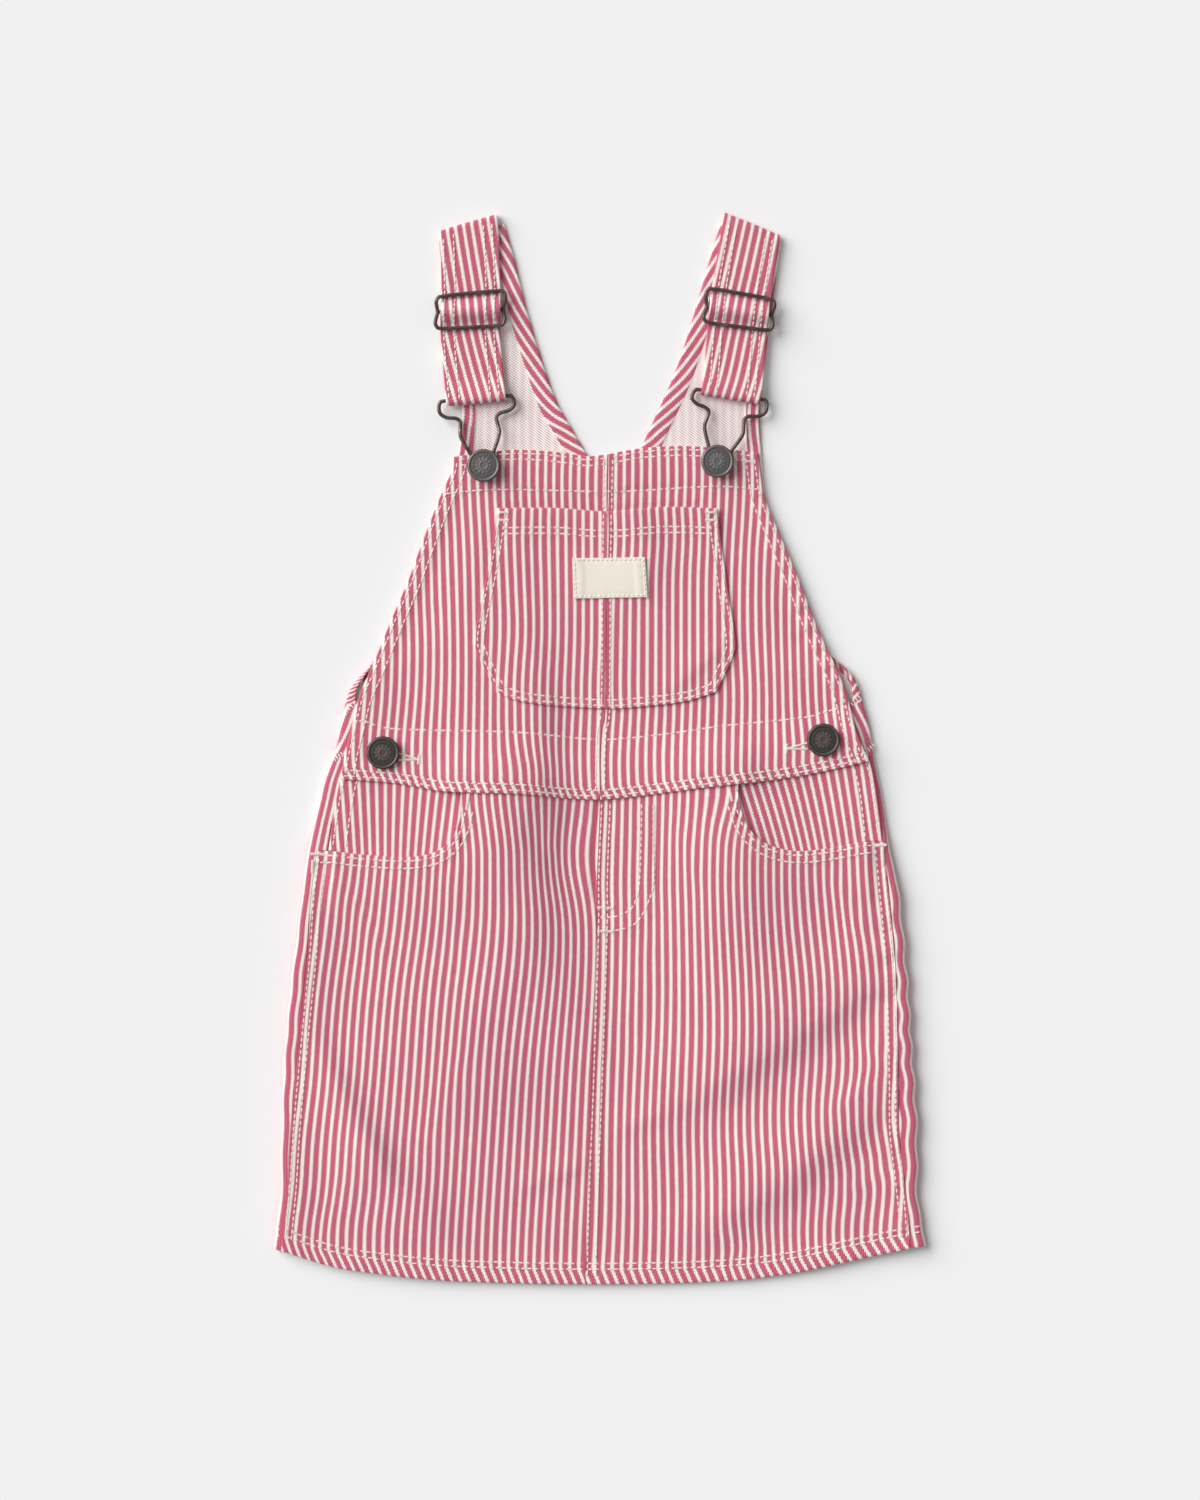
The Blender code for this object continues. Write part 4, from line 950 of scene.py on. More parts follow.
def halfLine(line, side, middleX, last):
    # one side's half of a line that crosses the garment, from its outer end to the centre
    curve = smoothCurve(line)
    centreShare = np.interp(middleX, curve[:, 0], walked(curve)) / walked(curve)[-1]
    half = shareAlong(line, np.linspace(0.0 if side == "left" else 1.0, centreShare, 9))
    half[-1] = last
    return half


def makeSkirtFront(side):
    sign, left = signs[side], side == "left"
    mouth, seam = skirt["mouth"][side], garment["seam"][side]
    centre = [point for point in garment["centre"] if point[1] < -20.0]
    centre = [(centre[0][0], centre[0][1] + cloth["lap"])] + centre
    half = [(x + sign * 0.04, y) for x, y in centre]
    edge = [(x - sign * 0.06, y) for x, y in seam]
    top = [edge[0], *mouth[1:-1], *alongLevel("waist", mouth[-1], half[0], 5, cloth["lap"])]
    foot = [edge[-1]] + alongLevel("hem", seam[-1], half[-1], 7)[1:]
    lines = {"seam": edge, "hem": foot, "mouth": mouth}
    if not left:
        lines["fell"] = half[1:]
    rows, puckers = sewnEdges(skirt, side, lines)
    if not left:
        rows += [smoothCurve(skirt["flyInner"]), smoothCurve(skirt["flyOuter"])]
    lipLine = smoothCurve(mouth)

    def wall(x, y):
        # turned hem, lip of the pocket's mouth and waist; on the right half also the fly and the felled seam
        over = above("waist", x, y)
        hem = fall(above("hem", x, y), skirt["hemDeep"], 0.9)
        lip = fall(nearLine(lipLine, x, y)[0], skirt["lipDeep"], 0.9) * fall(over, -4.0, 4.0)
        extra = np.maximum(np.maximum(hem, lip), climb(over, *steps["waistHem"]))
        if not left:
            turn = 0.03 * np.maximum(x - 8.0, 0) ** 2
            fly = fall(x, skirt["flyWide"], 1.0) * climb(y - turn, skirt["flyFoot"], 1.2)
            felled = fall(offCentre(x, y), skirt["fellWide"], 0.8) * fall(y, -80.0, 20.0)
            extra = np.maximum(extra, np.maximum(fly, 0.7 * felled))
        return cloth["wall"] + cloth["hemExtra"] * extra

    def relief(x, y):
        beside = fall(np.abs(offCentre(x, y)), 1.0, 2.8) * climb(y, -76.0, 8.0)
        return sewnRelief(x, y, rows, skirt["rowDepth"], puckers) + skirt["flyStep"][side] * beside

    def stripes(x, y):
        # the count goes evenly from side seam to centre, moved by the drift and turned askew in the hem
        seamX = xOn(seam, y)
        share = (x - seamX) / (xOn(garment["centre"], y) - seamX)
        share = share if left else 1 - share
        drift = bumps(skirt["drift"][side], x, y) + pushed(x, y) * fall(y, -46.0, 20.0)
        skew = skirt["hemSkew"] * np.clip(skirt["rows"]["hem"][0][0] - above("hem", x, y), 0.0, 8.0)
        count = skirt["stripesAcross"] * share + (drift - skew) / cloth["pitch"]
        return np.dstack([count, -y / cloth["pitch"]])

    surface = layPanel("cloth_skirt_front_" + side, "skirt_front_" + side,
                       panelPlan(skirt, edge, half, top, foot), (1.0, 1.0, 2.5, 10.0),
                       skirtUnder, wall, relief, stripes)
    sew("skirt_" + side, surface, rows)
    for start, end in skirt["tacks"][side]:
        sewTack("skirt_" + side, surface, start, end)


def makeFacing(side):
    edge, foot, inner = (facing[line][side] for line in ("edge", "foot", "inner"))
    head = alongLevel("waist", edge[0], inner[0], 7, cloth["lap"])
    rows, puckers = sewnEdges(facing, side, {"side": edge})

    def relief(x, y):
        return sewnRelief(x, y, rows, facing["rowDepth"], puckers)

    def stripes(x, y):
        # the stripes lean over a little more towards the skirt's mouth
        lean, more = facing["lean"][side]
        lean = lean + more * fall(np.abs(x), 70.0, 55.0)
        return np.dstack([(x + lean * (y + 30.0)) / facing["stripe"] + 0.3, -y / cloth["pitch"]])

    surface = layPanel("cloth_facing_" + side, "pocket_facing_" + side,
                       panelPlan(facing, edge, inner, head, foot), (1.0, 10.0, 1.0, 1.0),
                       frontUnder, waistWall, relief, stripes)
    sew("waist_" + side, surface, rows)


def bibStripes(x, y, drift):
    return np.dstack([(x - 3.0 + drift) / bib["stripe"], -y / cloth["pitch"]])


def makeBib(side):
    sign = signs[side]
    outer = bib["edge"][side]
    centre = [(x + sign * 0.04, y) for x, y in garment["centre"] if y > -25.0]
    top = halfLine(bib["top"], side, centre[0][0], centre[0])
    foot = halfLine(garment["waist"], side, 0.0, centre[-1])
    rows, puckers = sewnEdges(bib, side, {"side": outer, "top": top, "foot": foot, "seam": centre})
    for line in (bib["facingRow"], bib["plackRow"]):
        line = smoothCurve(line)
        rows.append(line[(line[:, 0] <= 1.5) == (side == "left")])

    def relief(x, y):
        # flat fell along the centre, and a hollow behind the pocket's open mouth
        felled = 0.22 * fall(np.abs(offCentre(x, y)), 2.4, 0.8)
        hollow = bell(y - yOn(pocket["top"], x) - 0.7, 1.5) * climb(x, -48.0, 8.0) * fall(x, 46.0, 8.0)
        return sewnRelief(x, y, rows, bib["rowDepth"], puckers) + felled - 0.8 * hollow

    def stripes(x, y):
        drift = bib["shift"][side] + bumps(bib["drift"][side], x, y) + 0.6 * pushed(x, y)
        return bibStripes(x, y, drift - skirt["hemSkew"] * np.clip(6.0 - above("waist", x, y), 0.0, 7.0))

    surface = layPanel("cloth_bib_" + side, "bib_" + side, panelPlan(bib, outer, centre, top, foot),
                       (1.0, 1.0, 1.0, 10.0),
                       bibUnder, bibWall, relief, stripes)
    sew("bib_" + side, surface, rows)
    # the buttonhole's two legs, open towards the button, and the bar across its end
    end, *corners = bib["buttonhole"][side]
    for corner in corners:
        sewTack("bib_" + side, surface, corner, end, 1.1, 14)
    end, bar = np.array(end), np.array(bib["barHalf"])
    sewTack("bib_" + side, surface, end - bar, end + bar, 1.6, 6)


def makePocket(side):
    sign = signs[side]
    outer = pocket["edge"][side]
    centre = [(xOn(garment["centre"], y) + sign * 0.04, y) for y in np.linspace(111.2, 18.6, 5)]
    top = halfLine(pocket["top"], side, 3.6, centre[0])
    foot = halfLine(pocket["foot"], side, 2.6, centre[-1])
    rows, puckers = sewnEdges(pocket, side, {"side": outer, "top": top, "foot": foot, "seam": centre})

    def relief(x, y):
        felled = 0.25 * fall(np.abs(offCentre(x, y)), 2.2, 0.8)
        return sewnRelief(x, y, rows, pocket["rowDepth"], puckers) + felled

    def stripes(x, y):
        return bibStripes(x, y, pocket["shift"][side] + bumps(pocket["drift"][side], x, y))

    surface = layPanel("cloth_pocket_" + side, "bib_pocket_" + side,
                       panelPlan(pocket, outer, centre, top, foot), (1.0, 1.0, 1.0, 10.0),
                       pocketUnder, pocketWall, relief, stripes)
    sew("pocket", surface, rows)
    for drop in pocket["tackDrops"]:
        start = top[0] + np.array([-sign * 1.4, -drop])
        sewTack("pocket", surface, start, start + np.array([-sign * 4.0, 0.0]), 1.2, 7)


label = {
    "corners": [(-13, 89.2), (21.2, 89.6), (22.4, 70.8), (-12.4, 70.2)],
    "across": (34, 0.9),
    "down": (19, 0.9),
    "wall": 0.8,
    "foldWide": 5.0,
    "inset": 1.1,
    "rowDepth": 0.3,
    "cut": (0.035, 0.026),
    "area": 0.00072,
}


def makeLabel():
    # a blank tape with its ends folded under, sewn down all round
    topLeft, topRight, footRight, footLeft = label["corners"]
    left, right = (topLeft, footLeft), (topRight, footRight)
    corners = np.array(label["corners"] + label["corners"][:1])
    middle, halfSize = corners[:4].mean(0), np.array([17.0, 9.5])
    inner = middle + (corners - middle) * (1 - label["inset"] / halfSize)

    def under(x, y):
        return pocketUnder(x, y) + pocketWall(x, y) + cloth["gap"]

    def wall(x, y):
        inward = np.minimum(x - xOn(left, y), xOn(right, y) - x)
        return label["wall"] + 0.25 * fall(inward, label["foldWide"], 0.6)

    def relief(x, y):
        return sewnRelief(x, y, [inner], label["rowDepth"], [(corners, 0.06, 6.0, 3.0)])

    def stripes(x, y):
        return np.dstack([x, y]) / cloth["pitch"]

    surface = layPanel("label_tape_blank", "pocket_label",
                       panelPlan(label, left, right, (topLeft, topRight), (footLeft, footRight)),
                       (1.0, 1.0, 1.0, 1.0),
                       under, wall, relief, stripes, "label_tape")
    sew("pocket", surface, [inner], 2.2, 1.5)


for side in signs:
    makeSkirtFront(side)
    makeFacing(side)
    makeBib(side)
    makePocket(side)
makeLabel()
print("front panels made")


# ---- back pieces, rolled round the sides

back = {
    "skirtStripes": 39.0,
    "neckBand": 8.3,
    "armBand": 6.6,
    "neckFoot": 131.0,
    "armFoot": 46.0,
    "free": 142.0,
    "tacks": {
        "left": [((-124.4, -5.2), (-121, -2.6)), ((-118.8, 17.6), (-115.2, 21))],
        "right": [((125, -1.6), (128.4, 1.4)), ((118.2, 20.8), (121.6, 24.2))],
    },
    # of the skirt's rolled sides: height and wavelength
    "ripple": {"left": (0.25, 3.7), "right": (0.55, 2.9)},
    # inner x and y, outer x and y, how far the side is turned up, lip beyond the turn
    "rows": {
        "left": [
            (0.2, -3.95, -125, -3.95, 180, 9), (0.5, 8, -122, 8, 180, 8.5), (0.8, 18, -120.2, 18, 180, 7.5),
            (1, 23, -119, 23, 180, 2.6), (1.2, 28, -117.2, 28, 172, 1.6), (1.4, 33, -113.4, 33, 150, 1.2),
            (1.6, 38, -108.8, 38, 118, 0.8), (1.8, 43, -105, 43, 60, 0.4), (2, 50, -100.6, 50, 0, 0),
            (2.4, 70, -91.8, 70, 0, 0), (2.9, 95, -82.4, 95, 0, 0), (3.3, 118, -73.4, 118, 0, 0),
            (3.5, 128, -68.6, 128, 0, 0), (-1.8, 131.4, -67, 132.6, 0, 0), (-7.2, 140, -66.2, 140, 0, 0),
            (-14, 151.6, -65.6, 150, 0, 0), (-21, 164.5, -65.2, 160.5, 0, 0), (-29, 188, -67.6, 181, 0, 0),
            (-35, 208.5, -70.8, 201, 0, 0), (-39.6, 228, -73.4, 219, 0, 0), (-43.6, 242, -75.2, 233.4, 0, 0),
            (-44.9, 246.5, -75.4, 238.4, 0, 0),
        ],
        "right": [
            (0.5, -3.95, 128.4, -3.95, 180, 8), (0.8, 8, 126.8, 8, 180, 8), (1.1, 18, 124.4, 18, 180, 7.5),
            (1.3, 23, 123, 23, 180, 2.6), (1.5, 28, 121.6, 28, 176, 1.8), (1.7, 33, 119.6, 33, 160, 1.4),
            (1.9, 38, 115.4, 38, 130, 1), (2.1, 43, 109.6, 43, 60, 0.4), (2.3, 50, 103, 50, 0, 0),
            (2.7, 70, 94.6, 70, 0, 0), (3.2, 95, 84.6, 95, 0, 0), (3.6, 118, 77.6, 118, 0, 0),
            (3.8, 128, 76.8, 126, 0, 0), (9.4, 131.4, 76.2, 133, 0, 0), (18.6, 141, 75.8, 140, 0, 0),
            (25, 154, 75.2, 150, 0, 0), (31, 167, 75.2, 160.5, 0, 0), (36.4, 180, 76.6, 174, 0, 0),
            (43, 200.5, 78.8, 192, 0, 0), (50.4, 226, 82, 215, 0, 0), (55.2, 242, 84, 231, 0, 0),
            (57, 247, 84.4, 236.4, 0, 0),
        ],
    },
    "skirtCut": (0.175, 0.255),
    "skirtArea": 0.0405,
    "bodiceCut": (0.135, 0.255),
    "bodiceArea": 0.022,
}


def columnsAt(last, *stretches):
    # distances walked along every row: close lines at both cut edges, and between them stretches of
    # (from, to, shares of the way)
    parts = [rim[:-1] + np.zeros((len(last), 1))]
    parts += [low[:, None] + (high - low)[:, None] * shares for low, high, shares in stretches]
    return np.concatenate(parts + [last[:, None] - rim[-2::-1]], axis=1)


def rolledSheet(name, ends, radius, sweep, flap, seams, columns, extras, stripes, level=None, bands=()):
    # each row is a profile walked from its start: straight and level, round an arc of the roll's radius
    # through its sweep, then straight on for the flap; the wall is offset to both sides of that middle line
    start, end = ends
    wall = cloth["wall"]
    way, angle, arm = unit(end - start), np.radians(sweep), radius - wall / 2
    reach = np.linalg.norm(end - start, axis=1) - np.where(sweep > 0, radius, 0.0)
    walk = columns(reach, reach + arm * angle, reach + arm * angle + flap)
    reach, angle, radius, arm = reach[:, None], angle[:, None], radius[:, None], arm[:, None]
    lean = np.clip((walk - reach) / arm, 0.0, angle)
    past = np.maximum(walk - reach - arm * angle, 0.0)
    run = np.minimum(walk, reach) + arm * np.sin(lean) + past * np.cos(angle)
    rise = radius - arm * np.cos(lean) + past * np.sin(angle)
    x, y = start[:, :1] + way[:, :1] * run, start[:, 1:] + way[:, 1:] * run
    y = level(x, y) if level else y
    away = edgeDistance(np.dstack([walk, y]), seams)
    bulge = roundedRim(away, wall / 2)
    extra = extras(x, y) * climb(away, 0.0, 0.8) * (lean < 0.05)
    grids = []
    for size in (-bulge, bulge + extra):
        side = -np.sin(lean) * size
        grids.append(np.dstack([x + way[:, :1] * side, y + way[:, 1:] * side, rise + np.cos(lean) * size]))
    turned = [(span, edgeStripes(x, y)) for span, edgeStripes in bands]
    return clothMesh(name, *grids, stripes(x, y, walk), clothFinishes, turned)


def even(count):
    return np.linspace(0, 1, count)


def makeSkirtBack(side):
    sign = signs[side]
    seam, opening = garment["seam"][side], facing["edge"][side]
    head, foot = cloth["waistBack"] + 0.05, yOn(garment["hem"], sign * 153.2)
    corner, vent = seam[0][1], cloth["ventFoot"]
    levels = np.concatenate([
        head - rim[:-1], np.linspace(head - rim[-1], vent, 16), np.linspace(vent - 1.0, corner + 2.6, 5),
        [corner + 0.35, corner + 0.1], np.linspace(corner - 1.5, foot + rim[-1], 96), foot + rim[-2::-1],
    ])
    height, wavelength = back["ripple"][side]
    wave = np.sin(levels / wavelength + 1.4 * np.sin(levels / 21.0))
    wave = height * wave * fall(levels, -82.0, 30.0) * climb(levels, -234.0, 14.0)
    roll, radius = rollOf(side, levels) + wave, rollOf("radius", levels)
    edge = np.where(levels >= vent, xOn(opening, levels) - sign * 5.0, xOn(seam, levels) + sign * 0.06)
    edge = np.where((levels < vent) & (levels > corner + 0.2), xOn(opening, levels) + sign * 0.3, edge)
    flap = np.maximum(np.abs(roll - edge) - radius, 1.6)
    start = np.column_stack([xOn(garment["centre"], levels) + sign * 0.15, levels])
    end = np.column_stack([roll, levels])

    def level(x, y):
        # the lower rows bend to the hem's curve, with the cube of the share of the way down
        share = (y - head) / (foot - head)
        return y + share**3 * (yOn(garment["hem"], x) + 0.6 * fall(np.abs(x), 139.0, 8.0) - foot)

    def extras(x, y):
        return 0.45 * fall(above("hem", x, y), skirt["hemDeep"], 0.9)

    def stripes(x, y, walk):
        turned = np.abs(roll - start[:, 0]) - radius + (radius - cloth["wall"] / 2) * math.pi
        return np.dstack([back["skirtStripes"] * walk / turned[:, None], -y / cloth["pitch"] + 0 * walk])

    def columns(turnStart, turnEnd, last):
        # even over the flat, close round the roll, and close again at the cut edge
        return columnsAt(last, (0 * last + rim[-1], turnStart, even(48)),
                         (turnStart, turnEnd, even(12)[1:-1]), (turnEnd, last - 0.9, even(5)))

    piece = rolledSheet("cloth_skirt_back_" + side, (start, end), radius, np.full(len(levels), 180.0), flap,
                        (10.0, 1.0, 10.0, 2.5), columns, extras, stripes, level)
    place(piece, "striped_twill", "skirt_back_" + side)

    def surface(x, y):
        # the crown of the roll: a circle of its radius, level once past its middle
        size = rollOf("radius", y)
        past = np.clip(np.abs(x) - (np.abs(rollOf(side, y)) - size), 0.0, size * 0.98)
        return size + np.sqrt(size**2 - past**2)

    x = np.linspace(sign * 151.6, seam[-1][0] + sign * 0.6, 8)
    hemRows = [np.column_stack([x, yOn(garment["hem"], x) + inset]) for inset in skirt["rows"]["hem"][0]]
    sew("skirt_" + side, surface, hemRows)
    for first, last in back["tacks"][side]:
        sewTack("skirt_" + side, surface, first, last, 2.4, 4)


def makeBodice(side):
    sign = signs[side]
    table = np.array(back["rows"][side])
    # rows between the table's: smooth in plan, straight for the turn and the lip
    key = np.concatenate([[0.0], np.cumsum(np.abs(np.diff(table[:, 1])) + 0.01)])
    fine = gridShares(key[-1], 2.0) * key[-1]
    curve = smoothCurve(np.column_stack([key, table[:, :4]]))
    points = np.column_stack([np.interp(fine, curve[:, 0], curve[:, i]) for i in range(1, 5)])
    start, end = points[:, :2], points[:, 2:]
    sweep, lip = (np.interp(fine, key, table[:, i]) for i in (4, 5))
    radius = 1.8 - 0.2 * climb(sweep, 176.0, 4.0)
    reach = np.linalg.norm(end - start, axis=1) - np.where(sweep > 0, radius, 0.0)
    neck, arm = start[start[:, 1] > back["neckFoot"]], end[end[:, 1] > back["armFoot"]]
    steep = np.maximum(np.abs(unit(np.gradient(start, axis=0))[:, 1]), 0.5)
    neckSteps, middleSteps = 9, 36

    def columns(turnStart, turnEnd, last):
        # an exact column where each turned edge ends, then close columns round the roll and at the cut edges
        neckEnd = back["neckBand"] / steep
        tail = np.minimum(turnEnd, last - 2.0)
        armStart = np.minimum(last - back["armBand"], tail - 3.6)
        return columnsAt(last, (0 * last + rim[-1], neckEnd, even(neckSteps)),
                         (neckEnd + 0.3, armStart - 0.3, even(middleSteps)),
                         (armStart, tail - 3.2, np.array([0.0, 0.5])), (tail - 3.2, tail, even(9)[:-1]),
                         (tail, last - 0.9, even(5)))

    def extras(x, y):
        # a turned edge is a second layer: full height inside the band, none past it; its stitches draw it in
        near, far = nearLine(neck, x, y)[0], nearLine(arm, x, y)[0]
        onNeck = fall(near, back["neckBand"] - 0.1, 0.5) * climb(y, 126.0, 4.0)
        onArm = fall(far, back["armBand"] - 0.1, 0.5) * climb(y, back["armFoot"], 6.0)
        free = climb(y, back["free"], 5.0)
        carved = 0.2 * (bell(near - 7.0, 0.7) * onNeck + bell(far - 5.4, 0.7) * onArm)
        ripple = 0.10 * np.sin(y / 2.6 + x / 9.0) * bell(near, 9.0) * free
        thick = (0.3 + 0.32 * free) * np.maximum(onNeck, onArm)
        return thick - carved + ripple + 0.06 * softWaves(x * 1.7, y * 1.7)

    def stripes(x, y, walk):
        # even along the cloth; the narrow hem that is rolled at the armhole's foot shows them as a rope
        rope = climb(walk, reach[:, None] - 1.0, 1.0) * climb(y, 20.0, 3.0) * (y - 20.0) * 0.34
        count = (start[:, :1] * sign + walk) * sign / cloth["pitch"] + 0.2 + rope
        return np.dstack([count, -y / cloth["pitch"]])

    def mirrored(line, shift):
        # a turned edge shows the stripes as a mirror set along the fold would
        def other(x, y):
            fold = pointsAt(line, nearLine(line, x, y)[1])
            return np.dstack([(2 * fold[..., 0] - x) / 3.75 + shift, (y - 2 * fold[..., 1]) / cloth["pitch"]])
        return other

    neckColumns = len(rim) - 1 + neckSteps - 1
    bands = [(slice(0, neckColumns), mirrored(neck, 0.35)),
             (slice(neckColumns + 1 + middleSteps, None), mirrored(arm, 0.1))]
    piece = rolledSheet("cloth_bodice_" + side, (start, end), radius, sweep, lip, (10.0, 1.0, 1.0, 1.0),
                        columns, extras, stripes, bands=bands)
    place(piece, "striped_twill", "back_bodice_" + side)


for side in signs:
    makeSkirtBack(side)
    makeBodice(side)
print("back panels made")


# ---- straps, slides and buckles

strap = {
    "width": 28.0,
    "length": 86.0,
    "slideAt": 41.5,
    "foldRadius": 1.35,
    "doubled": 3.7,
    "step": 0.8,
    "rows": {"left": (-12.4, -7.5, 7.1, 11.2), "right": (-10.8, -7.2, 7.2, 10.8)},
    # left edge, then right edge, from the shoulder fold down
    "edges": {
        "left": [
            [(-75.6, 242.6), (-74.6, 228), (-74.4, 214), (-75.4, 196), (-74, 178.5), (-71.6, 160.4)],
            [(-47.6, 250.8), (-47.2, 231), (-46.4, 214.5), (-46.4, 198.5), (-45.2, 177), (-44.4, 162.8)],
        ],
        "right": [
            [(58.6, 251.2), (55, 228), (52, 213.5), (49.2, 195), (47.6, 180), (46.6, 165.8)],
            [(84.4, 240.6), (81.6, 226.5), (80, 214), (79, 190), (78, 172.5), (75.4, 161.2)],
        ],
    },
    "slideLevels": {"left": (204.7, 205.9), "right": (207.1, 203.5)},
    "stripe": 3.95,
    # the stripes are off the strap's own line: shift, lean, and how the lean grows down the strap
    "offset": {"left": (4.6, 0.11, 0.0005), "right": (-2.3, -0.03, -0.00075)},
    "cut": (0.028, 0.15),
}
wire = {
    "thick": 2.0,
    "shown": 0.89,
    "slideHalf": 8.1,
    "slideWide": 16.3,
    "slideCorner": 3.0,
    "slideLevels": {-1: 5.3, 1: 5.8},  # of its wire, at the end by the shoulder and at the other
    "hookAt": 83.5,
    "pastButton": 3.9,
    # across and along from the bar's middle: half the bar, then half the loop
    "hookBar": [(0, 0), (4, 0), (8, 0), (12, -0.1), (14, -0.2)],
    "hook": [
        (16.6, 0), (17.6, 2.2), (17.4, 5.4), (14.6, 7.6), (10.6, 8.4), (8.6, 10.2), (8.8, 13.6), (9.2, 17.4),
        (7.8, 21.6), (5.6, 26.4), (4.5, 30.6), (4.3, 33.8), (2.7, 36.4), (0, 37.2),
    ],
}
buttons = {
    "bib": {"left": (-54.5, 132.5), "right": (55, 134.5)},
    "side": {"left": (-101.5, -2), "right": (104.5, 4)},
    "head": 7.7,
    "shank": 2.4,
    "thick": 2.6,
    "shankGap": 0.1,
    # in from the head's rim and up from its seat; in from the rim and down from the top; radius and down
    "edge": [(0.9, 0), (0.25, 0.25), (0, 0.8), (0, 1.4)],
    "crown": [
        (0.2, 0.5), (0.7, 0.2), (1.1, 0.22), (1.45, 0.55), (1.9, 0.62), (2.4, 0.5), (2.9, 0.45), (3.5, 0.5),
    ],
    "middle": [
        (3.6, 0.42), (3, 0.36), (2.5, 0.38), (2.1, 0.22), (1.7, 0.2), (1.3, 0.34), (0.8, 0.36), (0.01, 0.3),
    ],
}


def strapPlan(side, run, across):
    # a point at a distance from the shoulder fold and across from the strap's middle line
    stations = (0.0, strap["slideAt"], strap["length"])
    run = np.asarray(run, float)
    inside = np.clip(run, 0.0, strap["length"])
    ends = []
    for edge, level in zip(strap["edges"][side], strap["slideLevels"][side]):
        y = np.interp(inside, stations, (edge[0][1], level, edge[-1][1]))
        ends.append(np.stack([xOn(edge, y), y + inside - run], axis=-1))
    middle, half = (ends[0] + ends[1]) / 2, (ends[1] - ends[0]) / 2
    return middle + unit(half) * np.asarray(across)[..., None]


def strapRoute():
    # (run, height) of the strap's middle line: shoulder fold, over the slide's bar, round the buckle's bar,
    # and back up to the slide's bar; each fold is half a circle, and the rise over the slide is (1 + cos) / 2
    wall, slideAt, hookAt, slideHalf = cloth["wall"], strap["slideAt"], wire["hookAt"], wire["slideHalf"]
    under, fold, wrap = wall / 2, strap["foldRadius"], wire["thick"] / 2 + cloth["gap"] + wall / 2
    single, double = under + 2 * fold, strap["doubled"]
    bar = cloth["layer"] + wall / 2 + wrap
    crown, rise = bar + wrap + cloth["layer"], slideHalf - 1.0
    route = [(3.4, under), (2.2, under)]
    for turn in np.linspace(0, math.pi, 7):
        route.append((fold - fold * math.sin(turn) + 0.05, under + fold - fold * math.cos(turn)))
    route += [(12.0, single), (24.0, single), (slideAt - slideHalf, single)]
    for off in np.linspace(-rise, rise, 13):
        low = single if off < 0 else double
        route.append((slideAt + off, low + (crown - low) * 0.5 * (1 + math.cos(math.pi * off / rise))))
    route += [(slideAt + slideHalf + 1.0, double), (slideAt + 22.0, double), (hookAt - 10.0, double + 0.3)]
    route += [(hookAt - 4.0, bar + wrap - 0.3)]
    for turn in np.linspace(0, math.pi, 9):
        route.append((hookAt + wrap * math.sin(turn), bar + wrap * math.cos(turn)))
    route += [(run, bar - wrap) for run in (hookAt - 12.0, slideAt + 12.0, slideAt + 1.5)]
    for turn in np.linspace(0, math.pi, 9):
        route.append((slideAt - wrap * math.sin(turn), bar - wrap * math.cos(turn)))
    route += [(slideAt + 1.2, bar + wrap - 0.05)]
    return np.array(route), bar


def makeStrap(side):
    line = smoothCurve(strapRoute()[0], 6)
    total = walked(line)[-1]
    line = pointsAt(line, gridShares(total, strap["step"]) * total)
    walk = walked(line)
    across = gridShares(strap["width"], strap["step"]) * strap["width"] - strap["width"] / 2
    step = unit(np.gradient(line, axis=0))
    normal = np.column_stack([step[:, 1], -step[:, 0]])
    edge = strap["width"] / 2 - np.abs(across)
    half = cloth["wall"] / 2
    away = np.minimum(np.minimum(walk, total - walk)[:, None], edge)
    bulge = roundedRim(away, half)
    grooves = sum(0.2 * bell(across - row, 0.7) for row in strap["rows"][side])
    carved = grooves + 0.07 * np.sin(walk / 2.1)[:, None] * bell(edge, 7.0)
    grids = []
    for off in (0.9 * carved * climb(away, 0.0, 1.0) - bulge, bulge):
        run, height = line[:, :1] + normal[:, :1] * off, line[:, 1:] + normal[:, 1:] * off
        plan = strapPlan(side, run, np.broadcast_to(across, run.shape))
        grids.append(np.dstack([plan, height]))
    shift, lean, bend = strap["offset"][side]
    count = (across + shift - lean * line[:, :1] - bend * line[:, :1] ** 2) / strap["stripe"]
    stripes = np.dstack([count, walk[:, None] / cloth["pitch"] + 0 * count])
    piece = clothMesh("cloth_strap_" + side, *grids, stripes, clothFinishes)
    place(piece, "striped_twill", "strap_" + side)
    # the stitches are carried along the same route, on the side that shows
    outer = np.flatnonzero((walk > 7.0) & (np.arange(len(walk)) < line[:, 0].argmax() - 2))
    run, height = (line[outer] - normal[outer] * (half - 0.06)).T
    plans = [strapPlan(side, run, np.full(run.shape, row)) for row in strap["rows"][side]]
    sew("strap_" + side, None, [np.column_stack([plan, height]) for plan in plans])


